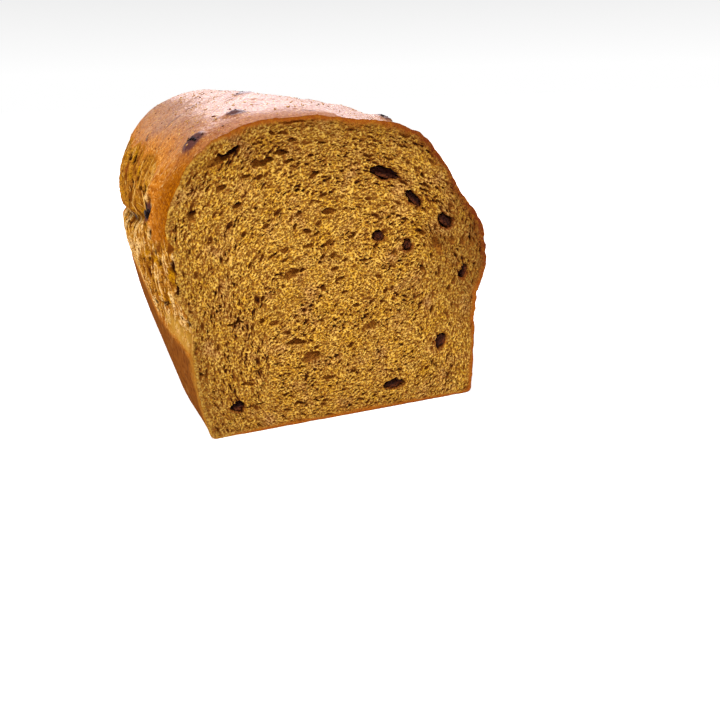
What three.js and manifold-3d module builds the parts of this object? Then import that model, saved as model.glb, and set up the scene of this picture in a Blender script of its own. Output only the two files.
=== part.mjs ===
// Sliced raisin bread loaf: a loaf baked in a tin, with one end cut off and its raisins showing.
// Millimetres, +Z up. The loaf stands on its flat base at z = 0, its length runs along Y, and
// its cut face looks towards -Y. The origin is under the middle of its box.

import * as THREE from 'three';
import { ParametricGeometry } from 'three/addons/geometries/ParametricGeometry.js';
import { mergeVertices } from 'three/addons/utils/BufferGeometryUtils.js';
import Module from 'manifold-3d';

const { lerp, smoothstep, degToRad, radToDeg } = THREE.MathUtils;

const wasm = await Module();
wasm.setup();

// ---- Driving dimensions ----

const LENGTH = 200; // cut face to the far end of the crown
const FRONT = -LENGTH / 2; // y of the cut face
const FOOT_RADIUS = 2.5; // bottom edges, rounded by the tin
const GROWTH = 55; // behind the cut face, the section grows to full size over this length
const TIN_TOP = 34; // the smooth sides reach this high, and the torn sides start there

// One side of a section: from the flat base the tin's wall leans out and draws in to the waist,
// and above it the side bulges to its widest reach. From there to the crown runs a quarter of a
// superellipse.
const CUT_SECTION = {
  crownX: -14,
  crownZ: 120.4,
  right: { base: 55.5, wall: 58.8, waist: 58, waistZ: 34, reach: 63, reachZ: 61, power: 2 },
  left: { base: 56.3, wall: 62.8, waist: 62.4, waistZ: 39, reach: 66.8, reachZ: 70, power: 2.6 },
};
const FULL_SECTION = {
  crownX: -22,
  crownZ: 126.4,
  right: { base: 55.5, wall: 59, waist: 58.4, waistZ: 36, reach: 65.6, reachZ: 63, power: 1.85 },
  left: { base: 59, wall: 65.8, waist: 67.4, waistZ: 37, reach: 69.8, reachZ: 76, power: 2 },
};

// The far end: rounded a little by the tin at the base, and much more round the crown.
const BASE_LENGTH = 195;
const CROWN_LENGTH = 198;
const END_RADIUS_BASE = 9;
const END_RADIUS_TIN = 14;
const END_RADIUS_CROWN = 38;
const END_CENTRE = new THREE.Vector2(0, 55);
const OVERRUN = 3; // the skin runs on past the cut face, and the knife's cut trims it

// Steps round a section, stretch by stretch from the left bottom corner, and along the loaf.
const ROUND_STEPS = { base: 6, foot: 2, wall: 5, tuck: 8, rightDome: 13, leftDome: 17 };
const BODY_ROWS = 37;
const END_ROWS = 6;
const BACK_ROWS = 4;

// Raisins and the pockets that hold them.
const FIT_GAP = 0.3; // between a raisin and the bread
const RAISIN_DEPTH = 3.6; // how far a cut raisin reaches into the bread, either way from its middle
const RAISIN_SUNK = 1; // its middle lies this far behind the cut face
const RAISIN_DETAIL = 2;
const RAISIN_PROUD = 0.45; // of a crust raisin's thickness, left above the crust

// Wrinkles of a raisin: depth as a share of its radius, and how many radians of wave each way.
const WRINKLE = { depth: 0.07, along: 5, through: 2, across: 6, slant: 3 };

// Raisins that the knife cut through: middle on the cut face, length, height and tilt in degrees.
const CUT_RAISINS = [
  { x: 16.8, z: 98.6, length: 12, height: 5, tilt: -14 },
  { x: 29.5, z: 87.8, length: 9, height: 4.4, tilt: -40 },
  { x: 43.4, z: 77.9, length: 7.6, height: 4.8, tilt: -38 },
  { x: 14, z: 74.6, length: 5.6, height: 4, tilt: -8 },
  { x: 26.6, z: 69.8, length: 4.6, height: 4, tilt: 60 },
  { x: 52.4, z: 56.2, length: 6.4, height: 3, tilt: 80 },
  { x: 42.3, z: 26.5, length: 7, height: 5, tilt: 50 },
  { x: 20.7, z: 10.4, length: 9.5, height: 4, tilt: 6 },
  { x: -47, z: 12.3, length: 6.2, height: 4.4, tilt: 12 },
];

// Raisins that show through the crust and the torn side: place along the loaf, then the height
// on the left side (z) or the place across the crown (x), with the sizes of an uncut raisin.
const SIDE_RAISINS = [
  { y: -58, z: 84, length: 9, height: 6.5, tilt: 25 },
  { y: 14, z: 70, length: 8, height: 6, tilt: -10 },
];
const CROWN_RAISINS = [
  { y: -84, x: -51.5, length: 8, height: 5, tilt: 20 },
  { y: -78, x: -34, length: 6, height: 4.6, tilt: 70 },
  { y: -45, x: -23, length: 6.4, height: 4, tilt: 10 },
  { y: -76, x: 27, length: 6, height: 4.4, tilt: -30 },
];

// Large holes of the crumb on the cut face: middle, length, height, depth and tilt in degrees.
const HOLES = [
  { x: -44.9, z: 107.6, length: 15, height: 3, depth: 4, tilt: 27 },
  { x: -30.8, z: 105.2, length: 9, height: 3, depth: 3, tilt: 12 },
  { x: 40, z: 67.6, length: 11, height: 4.6, depth: 2.6, tilt: -62 },
  { x: 55, z: 69.1, length: 8, height: 2, depth: 3, tilt: -78 },
  { x: -6.3, z: 85.7, length: 6.6, height: 2.6, depth: 2.5, tilt: -4 },
  { x: -22, z: 63.1, length: 8, height: 3.4, depth: 2.6, tilt: 8 },
  { x: -45.4, z: 46.6, length: 7.4, height: 2.4, depth: 3.4, tilt: 8 },
  { x: -21.5, z: 35.3, length: 9.6, height: 2.4, depth: 3, tilt: -6 },
  { x: -15.6, z: 28.4, length: 9, height: 5, depth: 2.6, tilt: 10 },
  { x: 9.7, z: 37.6, length: 8, height: 3.2, depth: 2, tilt: 10 },
  { x: -8.3, z: 18.5, length: 6.6, height: 3, depth: 2.4, tilt: 0 },
  { x: 33.3, z: 59.6, length: 5, height: 3.4, depth: 2.2, tilt: -40 },
  { x: -57.4, z: 88.2, length: 4.6, height: 3, depth: 2.4, tilt: 60 },
  { x: -41, z: 90.7, length: 3.6, height: 2.4, depth: 2.4, tilt: 40 },
];

// Smaller holes lie in arcs that follow the crown, as the dough rose.
const ARC_CENTRE = new THREE.Vector2(-6, 30);
const ARC_RADII = [42, 56, 70, 80];
const ARC_HOLES = 3; // on each arc
const ARC_REACH = degToRad(62); // either way from straight up
const ARC_SPREAD = 4; // how far the draw moves a hole off its arc, over the whole range
const ARC_HOLE = { length: 4.6, height: 2, depth: 2 };
const ARC_SEED = 7;
const HOLE_CLEARANCE = 1; // bread left between a small hole and a larger one or a raisin
const HOLE_DETAIL = 1;

// Deep clefts in the torn left side, stretched upwards: middle, length, width and tilt from level.
const CLEFTS = [
  { y: -54, z: 93, length: 15, width: 3, tilt: 100 },
  { y: -20, z: 95, length: 17, width: 3.4, tilt: 80 },
  { y: 8, z: 88, length: 16, width: 3, tilt: 96 },
  { y: 44, z: 92, length: 15, width: 3, tilt: 84 },
  { y: -62, z: 72, length: 9, width: 2.6, tilt: 62 },
  { y: -36, z: 64, length: 11, width: 2.6, tilt: 78 },
  { y: 26, z: 52, length: 12, width: 2.6, tilt: 104 },
];
const CLEFT_DEPTH = 3.4;

// ---- Section ----

const HALF = 0.5;

/** Mixes the cut section with the full one: 0 at the cut face, 1 where the loaf is full size. */
function sectionAt(growth) {
  const side = (name) =>
    Object.fromEntries(
      Object.keys(CUT_SECTION[name]).map((key) => [
        key,
        lerp(CUT_SECTION[name][key], FULL_SECTION[name][key], growth),
      ])
    );
  return {
    crownX: lerp(CUT_SECTION.crownX, FULL_SECTION.crownX, growth),
    crownZ: lerp(CUT_SECTION.crownZ, FULL_SECTION.crownZ, growth),
    right: side('right'),
    left: side('left'),
  };
}

/** Bottom edge of the tin: a quarter circle from the base up to the wall. */
function foot(t, size) {
  const angle = (t * Math.PI) / 2;
  return new THREE.Vector2(
    size.base + FOOT_RADIUS * Math.sin(angle),
    FOOT_RADIUS * (1 - Math.cos(angle))
  );
}

/** Smooth side that stood against the tin, from the foot up to the waist. */
function wall(t, size) {
  const start = new THREE.Vector2(size.base + FOOT_RADIUS, FOOT_RADIUS);
  const lean = new THREE.Vector2(size.wall, size.waistZ * HALF);
  const end = new THREE.Vector2(size.waist, size.waistZ);
  return new THREE.QuadraticBezierCurve(start, lean, end).getPoint(t);
}

/** Underside of the bulge, from the waist out to the widest reach. */
function tuck(t, size) {
  const x = lerp(size.waist, size.reach, smoothstep(t, 0, 1));
  return new THREE.Vector2(x, lerp(size.waistZ, size.reachZ, t));
}

/** Crown: a quarter of a superellipse from the widest reach to the top. */
function dome(t, size, section, side) {
  const angle = (t * Math.PI) / 2;
  const width = size.reach - side * section.crownX;
  const across = Math.abs(Math.cos(angle)) ** (2 / size.power);
  const up = Math.abs(Math.sin(angle)) ** (2 / size.power);
  const x = section.crownX + side * width * across;
  return new THREE.Vector2(side * x, lerp(size.reachZ, section.crownZ, up));
}

const STRETCHES = [
  { name: 'base', steps: ROUND_STEPS.base, side: 0 },
  { name: 'foot', steps: ROUND_STEPS.foot, side: 1 },
  { name: 'wall', steps: ROUND_STEPS.wall, side: 1 },
  { name: 'tuck', steps: ROUND_STEPS.tuck, side: 1 },
  { name: 'dome', steps: ROUND_STEPS.rightDome, side: 1 },
  { name: 'dome', steps: ROUND_STEPS.leftDome, side: -1 },
  { name: 'tuck', steps: ROUND_STEPS.tuck, side: -1 },
  { name: 'wall', steps: ROUND_STEPS.wall, side: -1 },
  { name: 'foot', steps: ROUND_STEPS.foot, side: -1 },
];
const RING = STRETCHES.reduce((sum, stretch) => sum + stretch.steps, 0);

/** Finds the stretch that a place round the section (0 to 1) lies in, and how far along it. */
function stretchAt(u) {
  let rest = THREE.MathUtils.euclideanModulo(u, 1) * RING;
  for (const stretch of STRETCHES) {
    if (rest <= stretch.steps) {
      const t = rest / stretch.steps;
      return { ...stretch, t: stretch.side < 0 ? 1 - t : t };
    }
    rest -= stretch.steps;
  }
  return { ...STRETCHES[0], t: 0 };
}

/** Point of a plain section, before any relief, as (x, z). */
function outline(u, section) {
  const { name, side, t } = stretchAt(u);
  const { left, right } = section;
  if (name === 'base') return new THREE.Vector2(lerp(-left.base, right.base, t), 0);
  const size = side > 0 ? right : left;
  const makers = { foot, wall, tuck, dome };
  const point = makers[name](t, size, section, side);
  return point.setX(side * point.x);
}

// ---- Relief of the crust ----

const SHOULDER = { high: 0.64, low: 0.33, width: 0.14, height: 3.2 };
const CREASE = { far: 66.5, farY: 70, rise: 0.0011, depth: 3.4, width: 3.2, start: -78, full: -52 };
const LOBE = { z: 55, width: 11, height: 1.6 };
const STRANDS = { top: 106, height: 1.2, spacing: 14, slant: 0.35, sway: 1.7, swayRate: 0.37 };
const WAVES = { height: 0.7, along: 47, across: 38, full: 68 };
const FOOT_FADE = 14; // relief fades out towards the base over this height

/** Bell curve, 1 in the middle and fading over the given width. */
function bell(offset, width) {
  return Math.exp(-((offset / width) ** 2));
}

/** Height of the crease between the two torn lobes of the left side. */
function creaseHeight(y) {
  return CREASE.far + CREASE.rise * (CREASE.farY - y) ** 2;
}

/** Right shoulder: a long swell of the crown, and below it a flat that only the cut end has. */
function shoulder(t, growth) {
  const swell = bell(t - SHOULDER.high, SHOULDER.width);
  const flat = (1 - growth) * bell(t - SHOULDER.low, SHOULDER.width);
  return SHOULDER.height * (swell - flat);
}

/** Torn left side: a lobe below the crease, the crease, and strands stretched upwards. */
function tornSide(y, z) {
  const open = smoothstep(y, CREASE.start, CREASE.full);
  const crease = -CREASE.depth * open * bell(z - creaseHeight(y), CREASE.width);
  const lobe = LOBE.height * smoothstep(y, FRONT, CREASE.full) * bell(z - LOBE.z, LOBE.width);
  return crease + lobe + strands(y, z);
}

/** Ridges of stretched crumb on the torn sides. */
function strands(y, z) {
  const inside = smoothstep(z, TIN_TOP, TIN_TOP + FOOT_FADE) *
    (1 - smoothstep(z, STRANDS.top - FOOT_FADE, STRANDS.top));
  const phase = (2 * Math.PI * (y + STRANDS.slant * z)) / STRANDS.spacing;
  const sway = STRANDS.sway * Math.sin(STRANDS.swayRate * phase);
  return STRANDS.height * inside * Math.sin(phase + sway);
}

/** Slow waves all over the crust, so that no face is quite flat. */
function waves(x, y, z) {
  const along = Math.sin((2 * Math.PI * (y + z * HALF)) / WAVES.along);
  const across = Math.sin((2 * Math.PI * (x - y * HALF)) / WAVES.across);
  return WAVES.height * along * across * smoothstep(z, 0, WAVES.full);
}

/** Outward relief of the crust at a point, in millimetres. */
function relief(u, x, y, z, growth) {
  const { name, side, t } = stretchAt(u);
  const away = smoothstep(y, FRONT, FRONT + FOOT_FADE);
  let height = waves(x, y, z) * away;
  if (side < 0) height += tornSide(y, z);
  if (side > 0) height += strands(y, z) * HALF * away;
  if (side > 0 && name === 'dome') height += shoulder(t, growth);
  return height * smoothstep(z, 0, FOOT_FADE);
}

/** Point of the section with its relief, for a place round it and a distance along the loaf. */
function crustPoint(u, y) {
  const growth = smoothstep(y, FRONT, FRONT + GROWTH);
  const section = sectionAt(growth);
  const point = outline(u, section);
  const step = HALF / RING;
  const tangent = outline(u + step, section).sub(outline(u - step, section)).normalize();
  const height = relief(u, point.x, y, point.y, growth);
  return point.add(new THREE.Vector2(tangent.y, -tangent.x).multiplyScalar(height));
}

// ---- Loaf ----

const ROWS = 1 + BODY_ROWS + END_ROWS + BACK_ROWS;

/** Radius that the far end is rounded with, at a height. */
function endRadius(z) {
  const low = lerp(END_RADIUS_BASE, END_RADIUS_TIN, smoothstep(z, 0, TIN_TOP));
  return lerp(low, END_RADIUS_CROWN, smoothstep(z, TIN_TOP, CUT_SECTION.crownZ));
}

/** Distance from the cut face to the rim of the far end, at a height. */
function lengthAt(z) {
  return lerp(BASE_LENGTH, CROWN_LENGTH, smoothstep(z, 0, FULL_SECTION.left.reachZ));
}

/** Moves a point of a section towards the middle of the far end by a distance. */
function drawnIn(point, distance) {
  return point.clone().lerp(END_CENTRE, Math.min(1, distance / point.distanceTo(END_CENTRE)));
}

/** Point of the loaf's skin: v runs from the cut face to the far end, and u back round. */
function skinPoint(back, v, target) {
  const u = 1 - back; // against the section's own sense, so that the faces look outward
  const row = v * ROWS;
  const level = outline(u, FULL_SECTION).y;
  const radius = endRadius(level);
  const end = FRONT + lengthAt(level);
  const body = Math.min(1, Math.max(0, (row - 1) / BODY_ROWS));
  const straight = lerp(FRONT - OVERRUN, end - radius, body);
  const point = crustPoint(u, straight);
  const turn = Math.min(1, Math.max(0, (row - 1 - BODY_ROWS) / END_ROWS)) * (Math.PI / 2);
  const closing = Math.max(0, (row - 1 - BODY_ROWS - END_ROWS) / BACK_ROWS);
  const ring = drawnIn(point, radius * (1 - Math.cos(turn))).lerp(END_CENTRE, closing);
  const cap = Math.min(1, row);
  const rim = straight + radius * Math.sin(turn);
  const y = lerp(rim, FRONT + LENGTH, Math.sin((closing * Math.PI) / 2));
  target.set(lerp(END_CENTRE.x, ring.x, cap), y, lerp(END_CENTRE.y, ring.y, cap));
}

// ---- Solids ----

const MERGE_DISTANCE = 1e-4;

/** Makes a solid of a closed geometry, leaving out the flat triangles at its poles. */
function toSolid(geometry) {
  const bare = geometry.clone();
  bare.deleteAttribute('normal');
  bare.deleteAttribute('uv');
  const merged = mergeVertices(bare, MERGE_DISTANCE);
  const corners = Array.from(merged.index.array);
  const triangles = [];
  for (let i = 0; i < corners.length; i += 3) {
    const [a, b, c] = corners.slice(i, i + 3);
    if (a !== b && b !== c && c !== a) triangles.push(a, b, c);
  }
  return new wasm.Manifold(
    new wasm.Mesh({
      numProp: 3,
      vertProperties: Float32Array.from(merged.attributes.position.array),
      triVerts: Uint32Array.from(triangles),
    })
  );
}

/** Makes a geometry of a solid. */
function toGeometry(solid) {
  const mesh = solid.getMesh();
  const geometry = new THREE.BufferGeometry();
  geometry.setAttribute('position', new THREE.BufferAttribute(mesh.vertProperties, 3));
  geometry.setIndex(new THREE.BufferAttribute(mesh.triVerts, 1));
  geometry.computeVertexNormals();
  return geometry;
}

/** Folds of a raisin's skin, from -1 to 1, at a point of a ball of radius 1. */
function fold(point) {
  const along = Math.sin(WRINKLE.along * point.x + WRINKLE.through * point.y);
  return along * Math.cos(WRINKLE.across * point.z - WRINKLE.slant * point.y);
}

/** Ball with the given half sizes, turned and placed, its surface wrinkled to the depth asked. */
function ball(halfSizes, turn, place, detail, depth) {
  const geometry = new THREE.IcosahedronGeometry(1, detail);
  const position = geometry.attributes.position;
  const point = new THREE.Vector3();
  for (let i = 0; i < position.count; i += 1) {
    point.fromBufferAttribute(position, i);
    point.multiplyScalar(1 + depth * fold(point)).multiply(halfSizes);
    position.setXYZ(i, point.x, point.y, point.z);
  }
  geometry.applyMatrix4(new THREE.Matrix4().makeRotationFromQuaternion(turn));
  return geometry.translate(place.x, place.y, place.z);
}

/** Turn about Y that tilts a length along X up by the given degrees, seen from the cut face. */
function tiltOnFace(degrees) {
  return new THREE.Quaternion().setFromAxisAngle(new THREE.Vector3(0, -1, 0), degToRad(degrees));
}

/** Everything behind the cut face, as a box much larger than the loaf. */
function behindCut() {
  const box = new THREE.BoxGeometry(2 * LENGTH, 2 * LENGTH, 2 * LENGTH);
  return toSolid(box.translate(0, FRONT + LENGTH, 0));
}

/** Hole of the crumb, open to the cut face. */
function holeCutter(hole) {
  const sizes = new THREE.Vector3(hole.length / 2, hole.depth, hole.height / 2);
  const place = new THREE.Vector3(hole.x, FRONT, hole.z);
  return toSolid(ball(sizes, tiltOnFace(hole.tilt), place, HOLE_DETAIL, 0));
}

/** Small holes along arcs round the middle of the loaf, moved a little by a seeded draw. */
function arcHoles() {
  THREE.MathUtils.seededRandom(ARC_SEED);
  const holes = [];
  for (const radius of ARC_RADII) {
    for (let i = 0; i < ARC_HOLES; i += 1) {
      const place = (2 * (i + THREE.MathUtils.seededRandom())) / ARC_HOLES - 1;
      const angle = ARC_REACH * place;
      const reach = radius + ARC_SPREAD * (THREE.MathUtils.seededRandom() - HALF);
      const x = ARC_CENTRE.x + reach * Math.sin(angle);
      const z = ARC_CENTRE.y + reach * Math.cos(angle);
      holes.push({ ...ARC_HOLE, x, z, tilt: radToDeg(-angle) });
    }
  }
  return holes;
}

/** Tells whether a hole keeps clear of every raisin and of the larger holes. */
function isClear(hole) {
  return [...CUT_RAISINS, ...HOLES].every((other) => {
    const distance = Math.hypot(hole.x - other.x, hole.z - other.z);
    return distance > (hole.length + other.length) / 2 + HOLE_CLEARANCE;
  });
}

const WIDEST = FULL_SECTION.left.reachZ; // the crown lies above this height
const TRIES_EACH_STEP = 8; // places looked at between two steps round the section

/** Point of the left side at a height and a distance along the loaf, and its outward way. */
function onLeftSide(y, z) {
  return nearestOnCrust(y, (point) => (point.x < 0 ? Math.abs(point.y - z) : LENGTH));
}

/** Point of the crown at a place across it and a distance along the loaf, and its outward way. */
function onCrown(y, x) {
  return nearestOnCrust(y, (point) => (point.y > WIDEST ? Math.abs(point.x - x) : LENGTH));
}

/** Looks round the section for the place with the smallest miss. */
function nearestOnCrust(y, missOf) {
  const tries = RING * TRIES_EACH_STEP;
  const misses = Array.from({ length: tries }, (_, i) => missOf(crustPoint(i / tries, y)));
  const u = misses.indexOf(Math.min(...misses)) / tries;
  const step = HALF / RING;
  const tangent = crustPoint(u + step, y).sub(crustPoint(u - step, y)).normalize();
  const point = crustPoint(u, y);
  return {
    place: new THREE.Vector3(point.x, y, point.y),
    outward: new THREE.Vector3(tangent.y, 0, -tangent.x),
  };
}

/** Turn that lays a length on the crust: its thickness points outward, its length is tilted. */
function layOnCrust(outward, degrees) {
  const along = new THREE.Vector3(0, 1, 0);
  const up = new THREE.Vector3().crossVectors(outward, along);
  const tilt = degToRad(degrees);
  const length = along.clone().multiplyScalar(Math.cos(tilt)).addScaledVector(up, Math.sin(tilt));
  const width = new THREE.Vector3().crossVectors(outward, length);
  const frame = new THREE.Matrix4().makeBasis(length, outward, width.negate());
  return new THREE.Quaternion().setFromRotationMatrix(frame);
}

/** Deep cleft in the torn left side. */
function cleftCutter(cleft) {
  const { place, outward } = onLeftSide(cleft.y, cleft.z);
  const sizes = new THREE.Vector3(cleft.length / 2, CLEFT_DEPTH, cleft.width / 2);
  return toSolid(ball(sizes, layOnCrust(outward, cleft.tilt), place, HOLE_DETAIL, 0));
}

/** Half sizes of the body of a raisin, larger by a gap for the pocket that holds it. */
function raisinSizes(raisin, depth, gap) {
  return new THREE.Vector3(raisin.length / 2 + gap, depth + gap, raisin.height / 2 + gap);
}

/** Raisin in the cut face, whole; the gap turns it into the cutter for its pocket. */
function cutRaisin(raisin, gap) {
  const place = new THREE.Vector3(raisin.x, FRONT + RAISIN_SUNK, raisin.z);
  const sizes = raisinSizes(raisin, RAISIN_DEPTH, gap);
  return toSolid(ball(sizes, tiltOnFace(raisin.tilt), place, RAISIN_DETAIL, WRINKLE.depth));
}

/** Raisin in the crust at a surface spot; the gap turns it into the cutter for its pocket. */
function crustRaisin(raisin, spot, gap) {
  const depth = raisin.height / 2;
  const place = spot.place.clone().addScaledVector(spot.outward, depth * (2 * RAISIN_PROUD - 1));
  const sizes = raisinSizes(raisin, depth, gap);
  const turn = layOnCrust(spot.outward, raisin.tilt);
  return toSolid(ball(sizes, turn, place, RAISIN_DETAIL, WRINKLE.depth));
}

/** Every raisin with a name, as a function from gap to solid. */
function raisins() {
  const cut = CUT_RAISINS.map((raisin) => (gap) => cutRaisin(raisin, gap));
  const side = SIDE_RAISINS.map((raisin) => (gap) =>
    crustRaisin(raisin, onLeftSide(raisin.y, raisin.z), gap)
  );
  const crown = CROWN_RAISINS.map((raisin) => (gap) =>
    crustRaisin(raisin, onCrown(raisin.y, raisin.x), gap)
  );
  return [
    ...cut.map((solid, i) => ({ name: `raisin_cut_${i + 1}`, solid })),
    ...side.map((solid, i) => ({ name: `raisin_side_${i + 1}`, solid })),
    ...crown.map((solid, i) => ({ name: `raisin_crown_${i + 1}`, solid })),
  ];
}

/** Bread: the skin as one solid, less its holes, clefts and raisin pockets, then cut through. */
function bread(pieces, behind) {
  const skin = toSolid(new ParametricGeometry(skinPoint, RING, ROWS));
  const holes = [...HOLES, ...arcHoles().filter(isClear)].map(holeCutter);
  const clefts = CLEFTS.map(cleftCutter);
  const pockets = pieces.map(({ solid }) => solid(FIT_GAP));
  const whole = [...holes, ...clefts, ...pockets].reduce((rest, tool) => rest.subtract(tool), skin);
  return whole.intersect(behind);
}

// ---- Materials ----

const breadFinish = () =>
  new THREE.MeshStandardMaterial({ color: 0xb0843a, roughness: 0.9, metalness: 0 });
const raisinFinish = () =>
  new THREE.MeshStandardMaterial({ color: 0x2e1712, roughness: 0.5, metalness: 0 });

// ---- Scene graph ----

const pieces = raisins();
const behind = behindCut();
const loafMesh = new THREE.Mesh(toGeometry(bread(pieces, behind)), breadFinish());
loafMesh.name = 'loaf';

const raisinMeshes = pieces.map(({ name, solid }) => {
  const mesh = new THREE.Mesh(toGeometry(solid(0).intersect(behind)), raisinFinish());
  mesh.name = name;
  return mesh;
});

const loaf = new THREE.Group();
loaf.add(loafMesh, ...raisinMeshes);

const size = new THREE.Box3().setFromObject(loaf);
const centre = size.getCenter(new THREE.Vector3());
loaf.position.set(-centre.x, -centre.y, -size.min.z);

const model = new THREE.Group();
model.add(loaf);

export default model;
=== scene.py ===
"""Looks of a sliced raisin bread loaf: crumb, crust, torn sides, raisins and loose bits.

A loaf baked in a tin stands on its base with one end cut off. Lengths are millimetres while a
shape is worked out and metres in every mesh. X runs across the loaf, Y along it from the cut
face (-Y) to the far end, and Z up.
"""

import logging
import math
from dataclasses import dataclass, field, fields
from enum import Enum
from itertools import product

import bmesh
import bpy
import numpy as np
from mathutils import Matrix, Quaternion, Vector


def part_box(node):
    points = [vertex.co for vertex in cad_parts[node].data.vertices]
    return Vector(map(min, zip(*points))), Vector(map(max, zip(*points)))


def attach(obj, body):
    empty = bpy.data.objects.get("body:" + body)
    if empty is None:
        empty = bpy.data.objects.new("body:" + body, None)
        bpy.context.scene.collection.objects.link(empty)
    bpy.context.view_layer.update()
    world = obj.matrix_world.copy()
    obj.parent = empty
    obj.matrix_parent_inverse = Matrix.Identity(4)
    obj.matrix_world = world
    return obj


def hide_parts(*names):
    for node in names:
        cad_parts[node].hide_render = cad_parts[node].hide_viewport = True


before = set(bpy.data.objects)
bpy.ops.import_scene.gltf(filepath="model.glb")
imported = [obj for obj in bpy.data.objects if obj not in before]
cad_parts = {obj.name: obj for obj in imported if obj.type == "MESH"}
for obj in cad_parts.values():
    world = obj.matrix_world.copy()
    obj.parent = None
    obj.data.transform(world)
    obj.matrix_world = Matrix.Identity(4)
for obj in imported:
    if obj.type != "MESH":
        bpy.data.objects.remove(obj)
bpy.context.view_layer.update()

LOG = logging.getLogger("raisin_bread")
MM = 0.001
TINY = 1e-6  # slack of a comparison between rounded numbers
TINIEST = 1e-9  # keeps a divisor off zero, and slack of a comparison of exact ones
Span = tuple[float, float]  # where something starts and ends, or its least and greatest value

# ---- Driving dimensions, in millimetres ----

LENGTH = 200.0
FRONT = -LENGTH / 2  # y of the cut face
TIN_MIDDLE = 2.6  # x of the tin's middle, which the box of the bulging loaf isn't centred on
FOOT_RADIUS = 2.5
GROWTH = 55.0  # behind the cut face, the section grows to full size over this length
TIN_TOP = 34.0  # the tin held the sides up to this height
BASE_LENGTH = 195.0
CROWN_LENGTH = 198.0
END_RADIUS_BASE = 9.0
END_RADIUS_TIN = 14.0
END_RADIUS_CROWN = 38.0
END_CENTRE = np.array([0.0, 55.0])  # x and z, where the far end closes
RELIEF_FADE = 14.0  # relief fades in over this distance from the base and from the cut face


class Slot(Enum):
    """Material slots of the record."""

    BREAD = "bread"
    RAISIN = "raisin"


class Stretch(Enum):
    """Stretches of a section, in order round it from the left bottom corner."""

    BASE = 0
    RIGHT_FOOT = 1
    RIGHT_WALL = 2
    RIGHT_TUCK = 3
    RIGHT_DOME = 4
    LEFT_DOME = 5
    LEFT_TUCK = 6
    LEFT_WALL = 7
    LEFT_FOOT = 8

    @property
    def on_left(self) -> bool:
        """Whether the stretch lies on the left side, where it is walked downwards."""
        return self.value >= Stretch.LEFT_DOME.value


# ---- Number helpers ----


def smoothstep(value: np.ndarray, low: float, high: float) -> np.ndarray:
    """Rises smoothly from 0 at low to 1 at high."""
    t = np.clip((value - low) / (high - low), 0.0, 1.0)
    return t * t * (3.0 - 2.0 * t)


def lerp(start: np.ndarray, end: np.ndarray, share: np.ndarray) -> np.ndarray:
    """Mixes two values by a share from 0 to 1."""
    return start + (end - start) * share


def bell(offset: np.ndarray, width: float) -> np.ndarray:
    """Bell curve, 1 in the middle and fading over the given width."""
    return np.exp(-((offset / width) ** 2))


class Noise:
    """Smooth random values on a cubic lattice that repeats after SIZE steps."""

    SIZE = 64
    OCTAVE_SHIFT = 7.3  # moves each octave, so that their lattices don't fall together

    def __init__(self, seed: int) -> None:
        """Draws the lattice.

        Args:
            seed: Start of the random draw, so that each run gives the same values.
        """
        self.values = np.random.default_rng(seed).random((self.SIZE,) * 3)

    def at(self, points: np.ndarray, step: float | tuple[float, float, float]) -> np.ndarray:
        """Reads the noise at points.

        Args:
            points: Array of points, the last axis being x, y and z.
            step: Size of one lattice step, the same each way or one for each axis.

        Returns:
            Values from -1 to 1.
        """
        scaled = points / np.asarray(step, float)
        cell = np.floor(scaled).astype(int)
        t = scaled - cell
        t = t * t * (3.0 - 2.0 * t)
        total = np.zeros(points.shape[:-1])
        for corner in product((0, 1), repeat=3):
            weight = np.prod(np.where(np.array(corner) == 1, t, 1.0 - t), axis=-1)
            index = (cell + corner) % self.SIZE
            total += weight * self.values[index[..., 0], index[..., 1], index[..., 2]]
        return 2.0 * total - 1.0

    def rough(
        self, points: np.ndarray, step: float | tuple[float, float, float], octaves: int
    ) -> np.ndarray:
        """Sums octaves of the noise, each half as large and half as high as the one before.

        Args:
            points: Array of points, the last axis being x, y and z.
            step: Size of one lattice step of the first octave.
            octaves: How many octaves are summed.

        Returns:
            Values from about -1 to 1.
        """
        size = np.asarray(step, float)
        parts = [
            self.at(points + self.OCTAVE_SHIFT * k, size / 2**k) / 2**k for k in range(octaves)
        ]
        return sum(parts) / (2.0 - 0.5 ** (octaves - 1))

    def ridges(
        self, points: np.ndarray, step: float | tuple[float, float, float], octaves: int
    ) -> np.ndarray:
        """Sharp ridges between smooth valleys, from about 0 to 1."""
        return 1.0 - 2.0 * np.abs(self.rough(points, step, octaves))


@dataclass(frozen=True)
class Pattern:
    """One use of a noise: its height, the distance between its features, and its octaves.

    The shift reads the noise elsewhere, so that two patterns of one noise aren't alike.
    """

    height: float
    step: float | tuple[float, float, float]
    octaves: int = 1
    shift: float = 0.0

    def of(self, noise: Noise, points: np.ndarray) -> np.ndarray:
        """Smooth waves, from about minus the height to the height."""
        return self.height * noise.rough(points + self.shift, self.step, self.octaves)

    def ridges(self, noise: Noise, points: np.ndarray) -> np.ndarray:
        """Sharp ridges, from about 0 to the height."""
        return self.height * noise.ridges(points + self.shift, self.step, self.octaves)


# ---- Section of the loaf ----


@dataclass(frozen=True)
class SideSizes:
    """One side of a section, from the flat base to the widest reach of the crown."""

    base: float
    wall: float
    waist: float
    waist_z: float
    reach: float
    reach_z: float
    power: float

    def mixed(self, other: "SideSizes", share: np.ndarray) -> "SideSizes":
        """Mixes two sides, size by size."""
        names = [f.name for f in fields(self)]
        return SideSizes(*(lerp(getattr(self, n), getattr(other, n), share) for n in names))


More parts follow.
